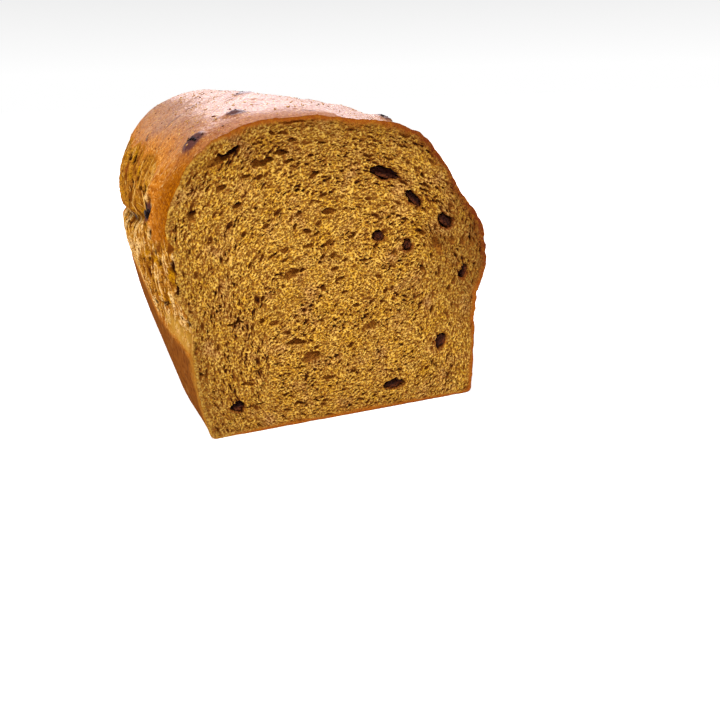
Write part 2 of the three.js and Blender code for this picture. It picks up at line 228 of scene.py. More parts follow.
@dataclass(frozen=True)
class Section:
    """Outline of the loaf across its length, with its crown and both sides."""

    crown_x: float
    crown_z: float
    right: SideSizes
    left: SideSizes

    def mixed(self, other: "Section", share: np.ndarray) -> "Section":
        """Mixes two sections."""
        return Section(
            lerp(self.crown_x, other.crown_x, share),
            lerp(self.crown_z, other.crown_z, share),
            self.right.mixed(other.right, share),
            self.left.mixed(other.left, share),
        )

    def point(self, stretch: Stretch, t: np.ndarray) -> tuple[np.ndarray, np.ndarray]:
        """Point of a stretch.

        Args:
            stretch: Which stretch the point lies on.
            t: Share of the way along it, against the walk round on the left side.

        Returns:
            x from the tin's middle, and z.
        """
        sign = -1.0 if stretch.on_left else 1.0
        side = self.left if stretch.on_left else self.right
        if stretch is Stretch.BASE:
            return lerp(-self.left.base, self.right.base, t), 0.0 * t
        if stretch in (Stretch.RIGHT_FOOT, Stretch.LEFT_FOOT):
            x, z = self._foot(t, side)
        elif stretch in (Stretch.RIGHT_WALL, Stretch.LEFT_WALL):
            x, z = self._wall(t, side)
        elif stretch in (Stretch.RIGHT_TUCK, Stretch.LEFT_TUCK):
            x, z = self._tuck(t, side)
        else:
            x, z = self._dome(t, side, sign)
        return sign * x, z

    @staticmethod
    def _foot(t: np.ndarray, side: SideSizes) -> tuple[np.ndarray, np.ndarray]:
        """Quarter circle from the base up to the wall."""
        angle = t * math.pi / 2
        return side.base + FOOT_RADIUS * np.sin(angle), FOOT_RADIUS * (1.0 - np.cos(angle))

    @staticmethod
    def _wall(t: np.ndarray, side: SideSizes) -> tuple[np.ndarray, np.ndarray]:
        """Side that stood against the tin: a curve through a lean to the waist."""
        start, lean, end = (1.0 - t) ** 2, 2.0 * t * (1.0 - t), t * t
        x = start * (side.base + FOOT_RADIUS) + lean * side.wall + end * side.waist
        return x, start * FOOT_RADIUS + (lean / 2 + end) * side.waist_z

    @staticmethod
    def _tuck(t: np.ndarray, side: SideSizes) -> tuple[np.ndarray, np.ndarray]:
        """Underside of the bulge."""
        x = lerp(side.waist, side.reach, smoothstep(t, 0.0, 1.0))
        return x, lerp(side.waist_z, side.reach_z, t)

    def _dome(
        self, t: np.ndarray, side: SideSizes, sign: float
    ) -> tuple[np.ndarray, np.ndarray]:
        """Quarter of a superellipse from the widest reach to the crown."""
        angle = t * math.pi / 2
        width = side.reach - sign * self.crown_x
        across = np.abs(np.cos(angle)) ** (2.0 / side.power)
        up = np.abs(np.sin(angle)) ** (2.0 / side.power)
        return sign * self.crown_x + width * across, lerp(side.reach_z, self.crown_z, up)


CUT_SECTION = Section(
    crown_x=-14.0,
    crown_z=120.4,
    right=SideSizes(55.5, 58.8, 58.0, 34.0, 63.0, 61.0, 2.0),
    left=SideSizes(56.3, 62.8, 62.4, 39.0, 66.8, 70.0, 2.6),
)
FULL_SECTION = Section(
    crown_x=-22.0,
    crown_z=126.4,
    right=SideSizes(55.5, 59.0, 58.4, 36.0, 65.6, 63.0, 1.85),
    left=SideSizes(59.0, 65.8, 67.4, 37.0, 69.8, 76.0, 2.0),
)


# ---- Form of the crust, as the solid has it ----


@dataclass(frozen=True)
class Form:
    """Large relief of the crust: shoulder, crease, lobe, strands and slow waves."""

    shoulder_high: float = 0.64
    shoulder_low: float = 0.33
    shoulder_width: float = 0.14
    shoulder_height: float = 3.2
    crease_far: float = 66.5
    crease_far_y: float = 70.0
    crease_rise: float = 0.0011
    crease_depth: float = 3.4
    crease_width: float = 3.2
    crease_start: float = -78.0
    crease_full: float = -52.0
    lobe_z: float = 55.0
    lobe_width: float = 11.0
    lobe_height: float = 1.6
    strand_top: float = 106.0
    strand_height: float = 1.2
    strand_spacing: float = 14.0
    strand_slant: float = 0.35
    strand_sway: float = 1.7
    strand_sway_rate: float = 0.37
    wave_height: float = 0.7
    wave_along: float = 47.0
    wave_across: float = 38.0
    wave_full: float = 68.0

    def crease_z(self, y: np.ndarray) -> np.ndarray:
        """Height of the crease between the two torn lobes of the left side."""
        return self.crease_far + self.crease_rise * (self.crease_far_y - y) ** 2

    def strands(self, y: np.ndarray, z: np.ndarray) -> np.ndarray:
        """Ridges of stretched crumb on the torn sides."""
        top = self.strand_top
        inside = smoothstep(z, TIN_TOP, TIN_TOP + RELIEF_FADE)
        inside = inside * (1.0 - smoothstep(z, top - RELIEF_FADE, top))
        phase = 2 * math.pi * (y + self.strand_slant * z) / self.strand_spacing
        sway = self.strand_sway * np.sin(self.strand_sway_rate * phase)
        return self.strand_height * inside * np.sin(phase + sway)

    def torn_side(self, y: np.ndarray, z: np.ndarray) -> np.ndarray:
        """Lobe, crease and strands of the left side."""
        opened = smoothstep(y, self.crease_start, self.crease_full)
        crease = self.crease_depth * opened * bell(z - self.crease_z(y), self.crease_width)
        bulge = smoothstep(y, FRONT, self.crease_full) * bell(z - self.lobe_z, self.lobe_width)
        return self.lobe_height * bulge - crease + self.strands(y, z)

    def waves(self, x: np.ndarray, y: np.ndarray, z: np.ndarray) -> np.ndarray:
        """Slow waves all over the crust."""
        along = np.sin(2 * math.pi * (y + z / 2) / self.wave_along)
        across = np.sin(2 * math.pi * (x - y / 2) / self.wave_across)
        return self.wave_height * along * across * smoothstep(z, 0.0, self.wave_full)

    def shoulder(self, t: np.ndarray, growth: np.ndarray) -> np.ndarray:
        """Long swell of the right shoulder, and the flat below it at the cut end."""
        swell = bell(t - self.shoulder_high, self.shoulder_width)
        flat = (1.0 - growth) * bell(t - self.shoulder_low, self.shoulder_width)
        return self.shoulder_height * (swell - flat)

    def height(
        self, stretch: Stretch, t: np.ndarray, x: np.ndarray, y: np.ndarray, z: np.ndarray
    ) -> np.ndarray:
        """Outward relief of the crust at points of one stretch, in millimetres.

        Args:
            stretch: Which stretch the points lie on.
            t: Share of the way along it.
            x: Place across the loaf, from the tin's middle.
            y: Place along the loaf.
            z: Height.

        Returns:
            How far each point moves outwards.
        """
        away = smoothstep(y, FRONT, FRONT + RELIEF_FADE)
        growth = smoothstep(y, FRONT, FRONT + GROWTH)
        height = self.waves(x, y, z) * away
        if stretch.on_left:
            height = height + self.torn_side(y, z)
        elif stretch is not Stretch.BASE:
            height = height + self.strands(y, z) * away / 2
        if stretch is Stretch.RIGHT_DOME:
            height = height + self.shoulder(t, growth)
        return height * smoothstep(z, 0.0, RELIEF_FADE)


# ---- Skin: the whole outside as rings of points ----


@dataclass
class Band:
    """Columns of the skin between two places round the section, with their spacing.

    A place counts stretches: its whole part is the stretch and the rest the share of it.
    """

    name: str
    start: float
    end: float
    columns: int


@dataclass
class Skin:
    """Outside of the loaf as rings of points from the cut face to the far end."""

    form: Form = field(default_factory=Form)
    bands: tuple[Band, ...] = (
        Band("tin_crust", -0.93, 2.93, 190),
        Band("right_shred", 2.93, 4.30, 118),
        Band("crown_crust", 4.30, 5.52, 262),
        Band("left_shred", 5.52, 8.07, 190),
    )
    body_rows: int = 366
    round_rows: int = 56
    closing_rows: int = 34
    probe_steps: int = 400  # places looked at in each stretch, to space the columns evenly
    slope_step: float = 0.01  # share of a stretch either way, to find the outward direction

    def __post_init__(self) -> None:
        """Lays out the columns and works out every point."""
        self.noise = Noise(seed=3)
        self.places = np.concatenate([self._even_places(band) for band in self.bands])
        self.starts = np.cumsum([0] + [band.columns for band in self.bands])
        self.rows = self.body_rows + self.round_rows + self.closing_rows
        plain = self._plain_points()
        self.outward = self._normals(plain)
        self.marks = SkinMarks(self, plain)
        self.points = plain + self.outward * self.marks.height[..., None]

    def _even_places(self, band: Band) -> np.ndarray:
        """Places of a band's columns, evenly spaced along the full section."""
        probe = np.linspace(band.start, band.end, self.probe_steps)
        x, z = self.section_points(probe[None, :], np.array([[LENGTH]]))
        walked = np.concatenate([[0.0], np.cumsum(np.hypot(np.diff(x[0]), np.diff(z[0])))])
        wanted = np.arange(band.columns) * walked[-1] / band.columns
        return np.interp(wanted, walked, probe)

    def section_points(
        self, place: np.ndarray, y: np.ndarray, relief: bool = False
    ) -> tuple[np.ndarray, np.ndarray]:
        """Points of the loaf's sections.

        Args:
            place: Places round the section, of shape (1, columns).
            y: Distances along the loaf, of shape (rows, columns) or (rows, 1).
            relief: Whether the large relief is added.

        Returns:
            x and z of each point, from the tin's middle.
        """
        round_ = np.mod(place, len(Stretch))
        y = np.broadcast_to(y, (y.shape[0], place.shape[1]))
        x, z = np.zeros(y.shape), np.zeros(y.shape)
        for stretch in Stretch:
            columns = np.nonzero(np.floor(round_[0]) == stretch.value)[0]
            if not len(columns):
                continue
            t = round_[:, columns] - stretch.value
            t = 1.0 - t if stretch.on_left else t
            along = y[:, columns]
            growth = smoothstep(along, FRONT, FRONT + GROWTH)
            section = CUT_SECTION.mixed(FULL_SECTION, growth)
            px, pz = section.point(stretch, t + 0.0 * along)
            if relief:
                px, pz = self._raised(stretch, t, section, px, along, pz)
            x[:, columns], z[:, columns] = px, pz
        return x, z

    def _raised(
        self,
        stretch: Stretch,
        t: np.ndarray,
        section: Section,
        x: np.ndarray,
        y: np.ndarray,
        z: np.ndarray,
    ) -> tuple[np.ndarray, np.ndarray]:
        """Moves the points of one stretch outwards by the large relief."""
        way = -1.0 if stretch.on_left else 1.0
        low, high = np.maximum(t - self.slope_step, 0.0), np.minimum(t + self.slope_step, 1.0)
        x0, z0 = section.point(stretch, low + 0.0 * y)
        x1, z1 = section.point(stretch, high + 0.0 * y)
        dx, dz = way * (x1 - x0), way * (z1 - z0)
        size = np.maximum(np.hypot(dx, dz), TINIEST)
        height = self.form.height(stretch, t, x, y, z)
        return x + height * dz / size, z - height * dx / size

    def _plain_points(self) -> np.ndarray:
        """Every point with the large relief, ring by ring, as x, y and z."""
        place = self.places[None, :]
        level = self.section_points(place, np.array([[LENGTH]]))[1]
        low = lerp(END_RADIUS_BASE, END_RADIUS_TIN, smoothstep(level, 0.0, TIN_TOP))
        radius = lerp(low, END_RADIUS_CROWN, smoothstep(level, TIN_TOP, CUT_SECTION.crown_z))
        reach = smoothstep(level, 0.0, FULL_SECTION.left.reach_z)
        end = FRONT + lerp(BASE_LENGTH, CROWN_LENGTH, reach)

        row = np.arange(self.rows + 1)[:, None]
        body = np.minimum(row / self.body_rows, 1.0)
        turn = np.clip((row - self.body_rows) / self.round_rows, 0.0, 1.0) * math.pi / 2
        done = self.body_rows + self.round_rows
        closing = np.clip((row - done) / self.closing_rows, 0.0, 1.0)

        straight = lerp(FRONT, end - radius, body)
        x, z = self.section_points(place, straight, relief=True)
        offset = np.stack([x, z], axis=-1) - END_CENTRE
        distance = np.linalg.norm(offset, axis=-1)
        kept = np.maximum(0.0, 1.0 - radius * (1.0 - np.cos(turn)) / distance) * (1.0 - closing)
        ring = END_CENTRE + offset * kept[..., None]
        rim = straight + radius * np.sin(turn)
        y = lerp(rim, FRONT + LENGTH, np.sin(closing * math.pi / 2))
        return np.stack([ring[..., 0] + TIN_MIDDLE, y, ring[..., 1]], axis=-1)

    @staticmethod
    def _normals(points: np.ndarray) -> np.ndarray:
        """Outward direction at every point; the cut ring keeps to the plane of the cut."""
        round_ = np.roll(points, -1, axis=1) - np.roll(points, 1, axis=1)
        along = np.gradient(points, axis=0)
        normal = np.cross(along, round_)
        normal[0, :, 1] = 0.0
        normal[-1] = (0.0, 1.0, 0.0)
        return normal / np.maximum(np.linalg.norm(normal, axis=-1, keepdims=True), TINIEST)


@dataclass(frozen=True)
class Scar:
    """Smear or slit of the crust: middle, length and width, and tilt from the loaf's length."""

    x: float
    y: float
    z: float
    length: float
    width: float
    tilt: float
    strength: float


SMEARS = (
    Scar(-38.8, -75.8, 119.4, 6.0, 2.2, 40.0, 0.6),
    Scar(-37.2, -20.5, 122.2, 12.0, 3.0, 70.0, 0.55),
    Scar(-47.4, -26.7, 116.8, 14.0, 3.6, 75.0, 0.55),
    Scar(-4.6, -83.0, 121.4, 7.0, 2.4, 85.0, 0.5),
    Scar(-28.0, -80.5, 121.3, 5.0, 1.6, 80.0, 0.7),
    Scar(-25.3, -78.2, 121.7, 2.2, 1.4, 80.0, 0.4),
    Scar(-56.6, -0.7, 107.9, 9.0, 2.6, 20.0, 0.8),
    Scar(-27.5, -50.0, 125.6, 7.0, 1.6, 85.0, 0.7),
    Scar(-52.0, -89.0, 108.5, 4.0, 1.4, 60.0, 0.5),
    Scar(12.0, -30.0, 124.0, 9.0, 3.0, 30.0, 0.6),
    Scar(30.0, 20.0, 117.0, 8.0, 3.4, -40.0, 0.65),
    Scar(-20.0, 42.0, 126.0, 10.0, 3.4, 50.0, 0.65),
    Scar(-45.0, 55.0, 118.0, 7.0, 3.0, 10.0, 0.6),
    Scar(46.0, -30.0, 104.0, 7.0, 3.0, 25.0, 0.6),
)
SLITS = (
    Scar(-67.1, -73.8, 72.2, 6.0, 1.3, 84.0, 1.0),
    Scar(-64.8, -82.9, 78.6, 4.0, 1.0, 60.0, 0.9),
    Scar(-64.5, -81.6, 75.6, 4.0, 1.0, 60.0, 0.9),
    Scar(-68.3, -7.5, 56.3, 6.0, 1.8, 80.0, 1.0),
    Scar(-63.5, -20.6, 96.1, 12.0, 2.2, 80.0, 0.9),
    Scar(-65.5, 1.7, 89.5, 13.0, 2.4, 82.0, 0.9),
    Scar(-64.7, -42.3, 89.8, 11.0, 2.0, 76.0, 0.9),
    Scar(-64.3, -71.4, 49.6, 9.0, 1.3, 12.0, 0.9),
    Scar(-66.5, 40.0, 88.0, 10.0, 2.4, 84.0, 0.9),
    Scar(-68.0, 28.0, 52.0, 7.0, 2.0, 70.0, 0.9),
    Scar(70.0, -20.0, 66.0, 7.0, 1.6, 80.0, 0.8),
    Scar(69.0, 35.0, 60.0, 8.0, 1.8, 82.0, 0.8),
)


@dataclass(frozen=True)
class Tear:
    """Where the dough tore open on one side as it rose."""

    foot: Span  # heights over which it begins
    top_near: float  # height of its upper edge near the cut face
    top_far: float  # and farther back
    turn: Span  # y over which the upper edge goes from one to the other
    fade: Span  # how far below and above its upper edge it fades out
    end: Span  # y over which it ends
    ragged: Pattern  # waves of its upper edge

    def share(self, noise: Noise, points: np.ndarray) -> np.ndarray:
        """Share of torn surface at points of the skin, from 0 to 1."""
        y, z = points[..., 1], points[..., 2]
        top = lerp(self.top_near, self.top_far, smoothstep(y, *self.turn))
        top = top + self.ragged.of(noise, points)
        inside = smoothstep(z, *self.foot)
        inside = inside * (1.0 - smoothstep(z, top - self.fade[0], top + self.fade[1]))
        return inside * (1.0 - smoothstep(y, *self.end))


LEFT_TEAR = Tear(
    foot=(35.0, 40.0),
    top_near=79.0,
    top_far=104.0,
    turn=(-74.0, -50.0),
    fade=(3.0, 1.0),
    end=(70.0, 92.0),
    ragged=Pattern(7.0, 16.0, 4),
)
RIGHT_TEAR = Tear(
    foot=(35.0, 41.0),
    top_near=74.0,
    top_far=74.0,
    turn=(-74.0, -50.0),
    fade=(4.0, 2.0),
    end=(66.0, 90.0),
    ragged=Pattern(9.0, 20.0, 4),
)


@dataclass(frozen=True)
class CrustRelief:
    """Fine relief of the whole crust, in millimetres, and where its zones begin and end."""

    bumps: Pattern = Pattern(0.22, 7.0, 3)
    grain: Pattern = Pattern(0.1, 1.5, 2, 31.0)
    blisters: Pattern = Pattern(1.0, 2.4, 1, 91.0)
    blister_from: float = 0.5  # only what rises above this is a blister
    blister_height: float = 0.5
    pits: Pattern = Pattern(1.0, 1.9, 1, 57.0)
    pit_from: float = 0.55
    pit_depth: float = 0.5
    # strength of the painted shade in the crust's small pits
    pit_shade: float = 1.2
    tin_smooth: float = 0.6  # how much flatter it is where it stood in the tin
    tin_top: Span = (31.0, 36.0)
    tin_edge: Pattern = Pattern(2.5, 18.0, 3)
    glossy: Span = (0.25, 0.85)  # upward share of the outward direction
    gold_near: Span = (70.0, 92.0)  # -y over which the left side turns golden towards the cut
    gold_above: Span = (38.0, 60.0)
    gold_lost: float = 0.5  # share of the gold taken away where the crust faces up, so that the painted top colour shows there
    seam_near: Span = (86.0, 97.0)  # -y over which a golden seam fades in beside the cut
    seam_edge: Pattern = Pattern(3.0, 6.0, 3)
    seam_gold: float = 0.8
    seam_pale: float = 0.75
    pale_foot: Span = (33.0, 36.0)
    pale_top: Span = (42.0, 47.0)
    pale_end: Span = (-72.0, -52.0)
    pale_least: float = 0.75
    pale_patches: Pattern = Pattern(0.6, 3.5, 3, 17.0)
    stain_height: float = 0.25
    knife_edge: Pattern = Pattern(0.55, 3.6, 3, 301.0)
    knife_reach: float = 3.0
    scar_edge: Pattern = Pattern(0.9, 2.4, 3)
    scar_edge_shift: float = 30.0
    scar_fade: Span = (0.0, 0.7)
    swell_reach: float = 0.75  # of a raisin's length
    swell_waves: Pattern = Pattern(0.5, 2.5, 2)
    swell_stain: float = 0.9
    swell_stain_fade: Span = (-0.8, -0.5)


@dataclass(frozen=True)
class TornRelief:
    """Relief of the torn crumb: ropes of dough, strands, threads, slits and open pores."""

    squeeze: float = 3.0  # the patterns reach this many times farther inwards than along
    sway: Pattern = Pattern(4.0, 20.0, 2)
    ropes: Pattern = Pattern(1.0, (6.0, 5.5, 24.0), 2, 83.0)
    strands: Pattern = Pattern(1.0, (2.8, 2.8, 11.0), 3, 11.0)
    threads: Pattern = Pattern(1.0, (1.5, 1.5, 5.0), 2, 47.0)
    ridge_middle: float = 0.5
    slits: Pattern = Pattern(1.0, (3.4, 2.6, 7.0), 1, 140.0)
    slit_span: Span = (0.42, 0.7)
    pores: Pattern = Pattern(1.0, (1.8, 1.8, 2.6), 1, 222.0)
    pore_span: Span = (0.4, 0.75)
    # strength of the painted shade in the open pores
    pore_shade: float = 0.7
    rope_height: float = 0.9
    strand_height: float = 0.7
    thread_height: float = 0.4
    slit_depth: float = 1.4
    pore_depth: float = 0.5
    scar_depth: float = 1.6
    sunk: float = 0.4  # the torn crumb lies this far below the crust
    pale_smooth: float = 0.75
    # strength of the painted shade in the crease
    crease_shade: float = 0.5
    # painted light on the torn crumb: its plain share, then how much it follows strands, threads
    # and ropes
    strand_light: tuple[float, float, float, float] = (0.5, 0.7, 0.6, 0.4)
    upper_from: Span = (0.0, 5.0)  # above the crease, the lobe is darker
    upper_start: Span = (-66.0, -40.0)
    upper_dark: float = 0.42


class SkinMarks:
    """Fine relief of the skin, and the marks that its colours follow."""

    NAMES = ("shred", "tin", "pale", "gloss", "gold", "stain", "pit", "strand")
    UNDERSIDE = -0.5  # where the outward direction points down more than this, nothing rises

    def __init__(self, skin: Skin, points: np.ndarray) -> None:
        """Works out the relief and the marks.

        Args:
            skin: Skin that the marks lie on.
            points: Points of the skin with its large relief.
        """
        self.noise = skin.noise
        self.form = skin.form
        self.points = points
        self.outward = skin.outward
        self.sizes = sizes = CrustRelief()
        x, y, z = np.moveaxis(points, -1, 0)
        self.left = x < TIN_MIDDLE
        tears = [tear.share(self.noise, points) for tear in (LEFT_TEAR, RIGHT_TEAR)]
        self.shred = np.where(self.left, *tears)
        seam = -y + sizes.seam_edge.of(self.noise, points)
        self.seam = self.left * smoothstep(seam, *sizes.seam_near)
        self.tin = 1.0 - smoothstep(z + sizes.tin_edge.of(self.noise, points), *sizes.tin_top)
        self.tin = self.tin * (1.0 - sizes.seam_gold * self.seam)
        self.pale = self._pale_band(y, z)
        # besides the coat, this mark paints the upward-facing crown darker and pinker and takes
        # gold away there
        self.gloss = smoothstep(self.outward[..., 2], *sizes.glossy) * (1.0 - self.shred)
        gold = self.left * smoothstep(-y, *sizes.gold_near) * smoothstep(z, *sizes.gold_above)
        gold = np.maximum(gold, sizes.seam_gold * self.seam)
        self.gold = gold * (1.0 - sizes.gold_lost * self.gloss)
        self.stain = self._scarred(SMEARS)
        # painted shade in the crust's pits, the torn sides' slits and open pores, the cut slits
        # and the crease
        self.pit = np.zeros(y.shape)
        height = self._crust_height() + self._shred_height(x, y, z)
        height = height + self._raisin_swell() + sizes.stain_height * self.stain
        height = height + self._cut_edge(y)
        under = self.outward[..., 2] < self.UNDERSIDE
        self.height = np.where(under, np.minimum(height, 0.0), height)

    def named(self) -> dict[str, np.ndarray]:
        """Marks by the names that the finish reads."""
        return {name: getattr(self, name) for name in self.NAMES}

    def _scarred(self, scars: tuple[Scar, ...]) -> np.ndarray:
        """How far inside one of the scars each point is, times the scar's strength."""
        edge, shift = self.sizes.scar_edge, self.sizes.scar_edge_shift
        wobble = [edge.of(self.noise, self.points + shift * k) for k in range(3)]
        wobbled = self.points + np.stack(wobble, axis=-1)
        inside = np.zeros(self.points.shape[:2])
        for scar in scars:
            middle = np.array([scar.x, scar.y, scar.z])
            offset = self.points - middle
            nearest = np.unravel_index(np.argmin((offset**2).sum(-1)), offset.shape[:2])
            outward = self.outward[nearest]
            along_loaf = np.array([0.0, 1.0, 0.0])
            around = np.cross(along_loaf, outward)
            angle = math.radians(scar.tilt)
            length = along_loaf * math.cos(angle) + around * math.sin(angle)
            width = around * math.cos(angle) - along_loaf * math.sin(angle)
            offset = wobbled - self.points[nearest]
            far = (2 * offset @ length / scar.length) ** 2 + (2 * offset @ width / scar.width) ** 2
            far = far + (offset @ outward / scar.length) ** 2
            within = smoothstep(1.0 - far, *self.sizes.scar_fade)
            inside = np.maximum(inside, scar.strength * within)
        return inside

    def _raisin_swell(self) -> np.ndarray:
        """Crust that rose round the raisins under it, and darkened next to them."""
        sizes = self.sizes
        swell = np.zeros(self.shred.shape)
        for raisin in CRUST_RAISINS:
            low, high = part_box(raisin.node)
            offset = self.points - np.array((low + high) / 2) / MM
            distance = np.linalg.norm(offset, axis=-1) / raisin.length
            uneven = 1.0 + sizes.swell_waves.of(self.noise, self.points)
            near = bell(distance, sizes.swell_reach) * uneven
            swell = np.maximum(swell, raisin.swell * near)
            beside = smoothstep(-distance, *sizes.swell_stain_fade)
            self.stain = np.maximum(self.stain, sizes.swell_stain * beside)
        return swell

    def _cut_edge(self, y: np.ndarray) -> np.ndarray:
        """Ragged edge that the knife left on the crust."""
        ragged = self.sizes.knife_edge.of(self.noise, self.points)
        return ragged * bell(y - FRONT, self.sizes.knife_reach)

    def _pale_band(self, y: np.ndarray, z: np.ndarray) -> np.ndarray:
        """Smooth pale band above the tin's edge, next to the cut on the left."""
        sizes = self.sizes
        band = smoothstep(z, *sizes.pale_foot) * (1.0 - smoothstep(z, *sizes.pale_top))
        beside = sizes.seam_pale * self.seam * (z < sizes.pale_top[1])
        band = np.maximum(band * (1.0 - smoothstep(y, *sizes.pale_end)), beside)
        patchy = sizes.pale_least + sizes.pale_patches.of(self.noise, self.points)
        return band * np.clip(patchy, 0.0, 1.0) * self.left

    def _crust_height(self) -> np.ndarray:
        """Low bumps, blisters and small pits of the baked crust."""
        sizes, noise, points = self.sizes, self.noise, self.points
        waves = sizes.bumps.of(noise, points) + sizes.grain.of(noise, points)
        blisters = np.clip(sizes.blisters.of(noise, points) - sizes.blister_from, 0.0, 1.0)
        pits = np.clip(sizes.pits.of(noise, points) - sizes.pit_from, 0.0, 1.0)
        self.pit = np.maximum(self.pit, sizes.pit_shade * pits * (1.0 - self.shred))
        height = waves + sizes.blister_height * blisters
        height = height - sizes.pit_depth * pits * (1.0 - self.tin)
        return height * (1.0 - sizes.tin_smooth * self.tin)

    def _shred_height(self, x: np.ndarray, y: np.ndarray, z: np.ndarray) -> np.ndarray:
        """Ropes, strands, slits and open pores of the torn sides."""
        torn, noise, form = TornRelief(), self.noise, self.form
        slant = y + form.strand_slant * z + torn.sway.of(noise, self.points)
        place = np.stack([x / torn.squeeze, slant, z], axis=-1)
        ropes = torn.ropes.of(noise, place)
        strands = torn.strands.ridges(noise, place) - torn.ridge_middle
        threads = torn.threads.ridges(noise, place) - torn.ridge_middle
        slits = smoothstep(torn.slits.of(noise, place), *torn.slit_span)
        pores = smoothstep(torn.pores.of(noise, self.points), *torn.pore_span)
        opened = self.shred * (1.0 - torn.pale_smooth * self.pale)
        cut_slits = self._scarred(SLITS)
        self.pit = np.maximum(self.pit, np.maximum(slits, torn.pore_shade * pores) * opened)
        self.pit = np.maximum(self.pit, cut_slits)
        crease = bell(z - form.crease_z(y), form.crease_width)
        crease = crease * smoothstep(y, form.crease_start, form.crease_full)
        self.pit = np.maximum(self.pit, torn.crease_shade * crease * self.shred * self.left)
        # painted highlights on the ridges of strands, threads and ropes, painted shade in their
        # valleys
        plain, by_strand, by_thread, by_rope = torn.strand_light
        light = plain + by_strand * strands + by_thread * threads + by_rope * ropes
        upper = smoothstep(z - form.crease_z(y), *torn.upper_from)
        upper = upper * smoothstep(y, *torn.upper_start)
        self.strand = np.clip(light, 0.0, 1.0) * (1.0 - torn.upper_dark * upper)
        relief = torn.rope_height * ropes + torn.strand_height * strands
        relief = relief + torn.thread_height * threads
        relief = relief - torn.slit_depth * slits - torn.pore_depth * pores
        return relief * opened - torn.scar_depth * cut_slits - torn.sunk * self.shred


# ---- Meshes ----


def set_places(bm: bmesh.types.BMesh, places: np.ndarray) -> None:
    """Moves the vertices of a mesh to places given in millimetres."""
    for vertex, place in zip(bm.verts, places * MM):
        vertex.co = place


def set_marks(bm: bmesh.types.BMesh, marks: dict[str, np.ndarray]) -> None:
    """Stores one number for each vertex under each name, for the materials to read."""
    for name, values in marks.items():
        layer = bm.verts.layers.float.new(name)
        for vertex, value in zip(bm.verts, values):
            vertex[layer] = value


def unit_grid(columns: int, rows: int) -> tuple[bmesh.types.BMesh, np.ndarray]:
    """Flat grid to be bent into shape.

    Args:
        columns: Faces along x.
        rows: Faces along y.

    Returns:
        The mesh, and the place of each vertex on it, from 0 to 1 each way.
    """
    bm = bmesh.new()
    bmesh.ops.create_grid(bm, x_segments=columns, y_segments=rows, size=0.5)
    return bm, np.array([vertex.co[:2] for vertex in bm.verts]) + 0.5


def close_to_core(bm: bmesh.types.BMesh, core: tuple[float, float, float]) -> None:
    """Closes an open sheet with a wall from its border to a point inside the loaf.

    Args:
        bm: Sheet, which becomes a closed body.
        core: The point, in millimetres.
    """
    border = [edge for edge in bm.edges if edge.is_boundary]
    for edge in border:
        edge.smooth = False
    made = bmesh.ops.extrude_edge_only(bm, edges=border)["geom"]
    inner = [item for item in made if isinstance(item, bmesh.types.BMVert)]
    bmesh.ops.pointmerge(bm, verts=inner, merge_co=Vector(core) * MM)
    bmesh.ops.recalc_face_normals(bm, faces=bm.faces)


def finished(
    bm: bmesh.types.BMesh, name: str, material: bpy.types.Material, slot: Slot, *nodes: str
) -> bpy.types.Object:
    """Makes an object of a mesh that rides on the loaf and stands for its solids.

    Args:
        bm: Mesh in metres, freed here.
        name: Name of the piece.
        material: Its finish.
        slot: Material slot of the record; not used.
        nodes: Solids that the piece stands for.

    Returns:
        The object.
    """
    for face in bm.faces:
        face.smooth = True
    mesh = bpy.data.meshes.new(name)
    bm.to_mesh(mesh)
    bm.free()
    mesh.materials.append(material)
    piece = bpy.data.objects.new(name, mesh)
    bpy.context.scene.collection.objects.link(piece)
    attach(piece, "root")
    if nodes:
        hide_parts(*nodes)
    triangles = sum(len(polygon.vertices) - 2 for polygon in mesh.polygons)
    LOG.info("%s: %d triangles", name, triangles)
    return piece


@dataclass
class Crust:
    """Crust of the crown, the torn sides, the part that stood in the tin, and the far end."""

    skin: Skin
    material: bpy.types.Material
    core: tuple[float, float, float] = (TIN_MIDDLE, 0.0, 55.0)
    far_core: tuple[float, float, float] = (TIN_MIDDLE, 40.0, 55.0)

    def build(self) -> None:
        """Makes every piece of the crust."""
        body = self.skin.body_rows
        for band, start in zip(self.skin.bands, self.skin.starts):
            bm = self._patch(start, band.columns, 0, body)
            close_to_core(bm, self.core)
            finished(bm, band.name, self.material, Slot.BREAD, "loaf")
        bm = self._patch(0, len(self.skin.places), body, self.skin.rows - body)
        bmesh.ops.remove_doubles(bm, verts=bm.verts, dist=MM * 0.001)
        close_to_core(bm, self.far_core)
        finished(bm, "far_crust", self.material, Slot.BREAD, "loaf")

    def _patch(self, start: int, columns: int, row: int, rows: int) -> bmesh.types.BMesh:
        """Sheet of the skin's points between columns and rows, with its marks."""
        bm, share = unit_grid(columns, rows)
        index = np.rint(share * (columns, rows)).astype(int) + (start, row)
        at = (index[:, 1], index[:, 0] % len(self.skin.places))
        set_places(bm, self.skin.points[at])
        named = self.skin.marks.named()
        set_marks(bm, {name: values[at] for name, values in named.items()})
        return bm


# ---- Crumb ----


@dataclass(frozen=True)
class Hole:
    """Flattened hole of the crumb: middle on the cut face, sizes, tilt in degrees, and its painted
    shade.
    """

    x: float
    z: float
    length: float
    height: float
    depth: float
    tilt: float
    dark: float = 0.45


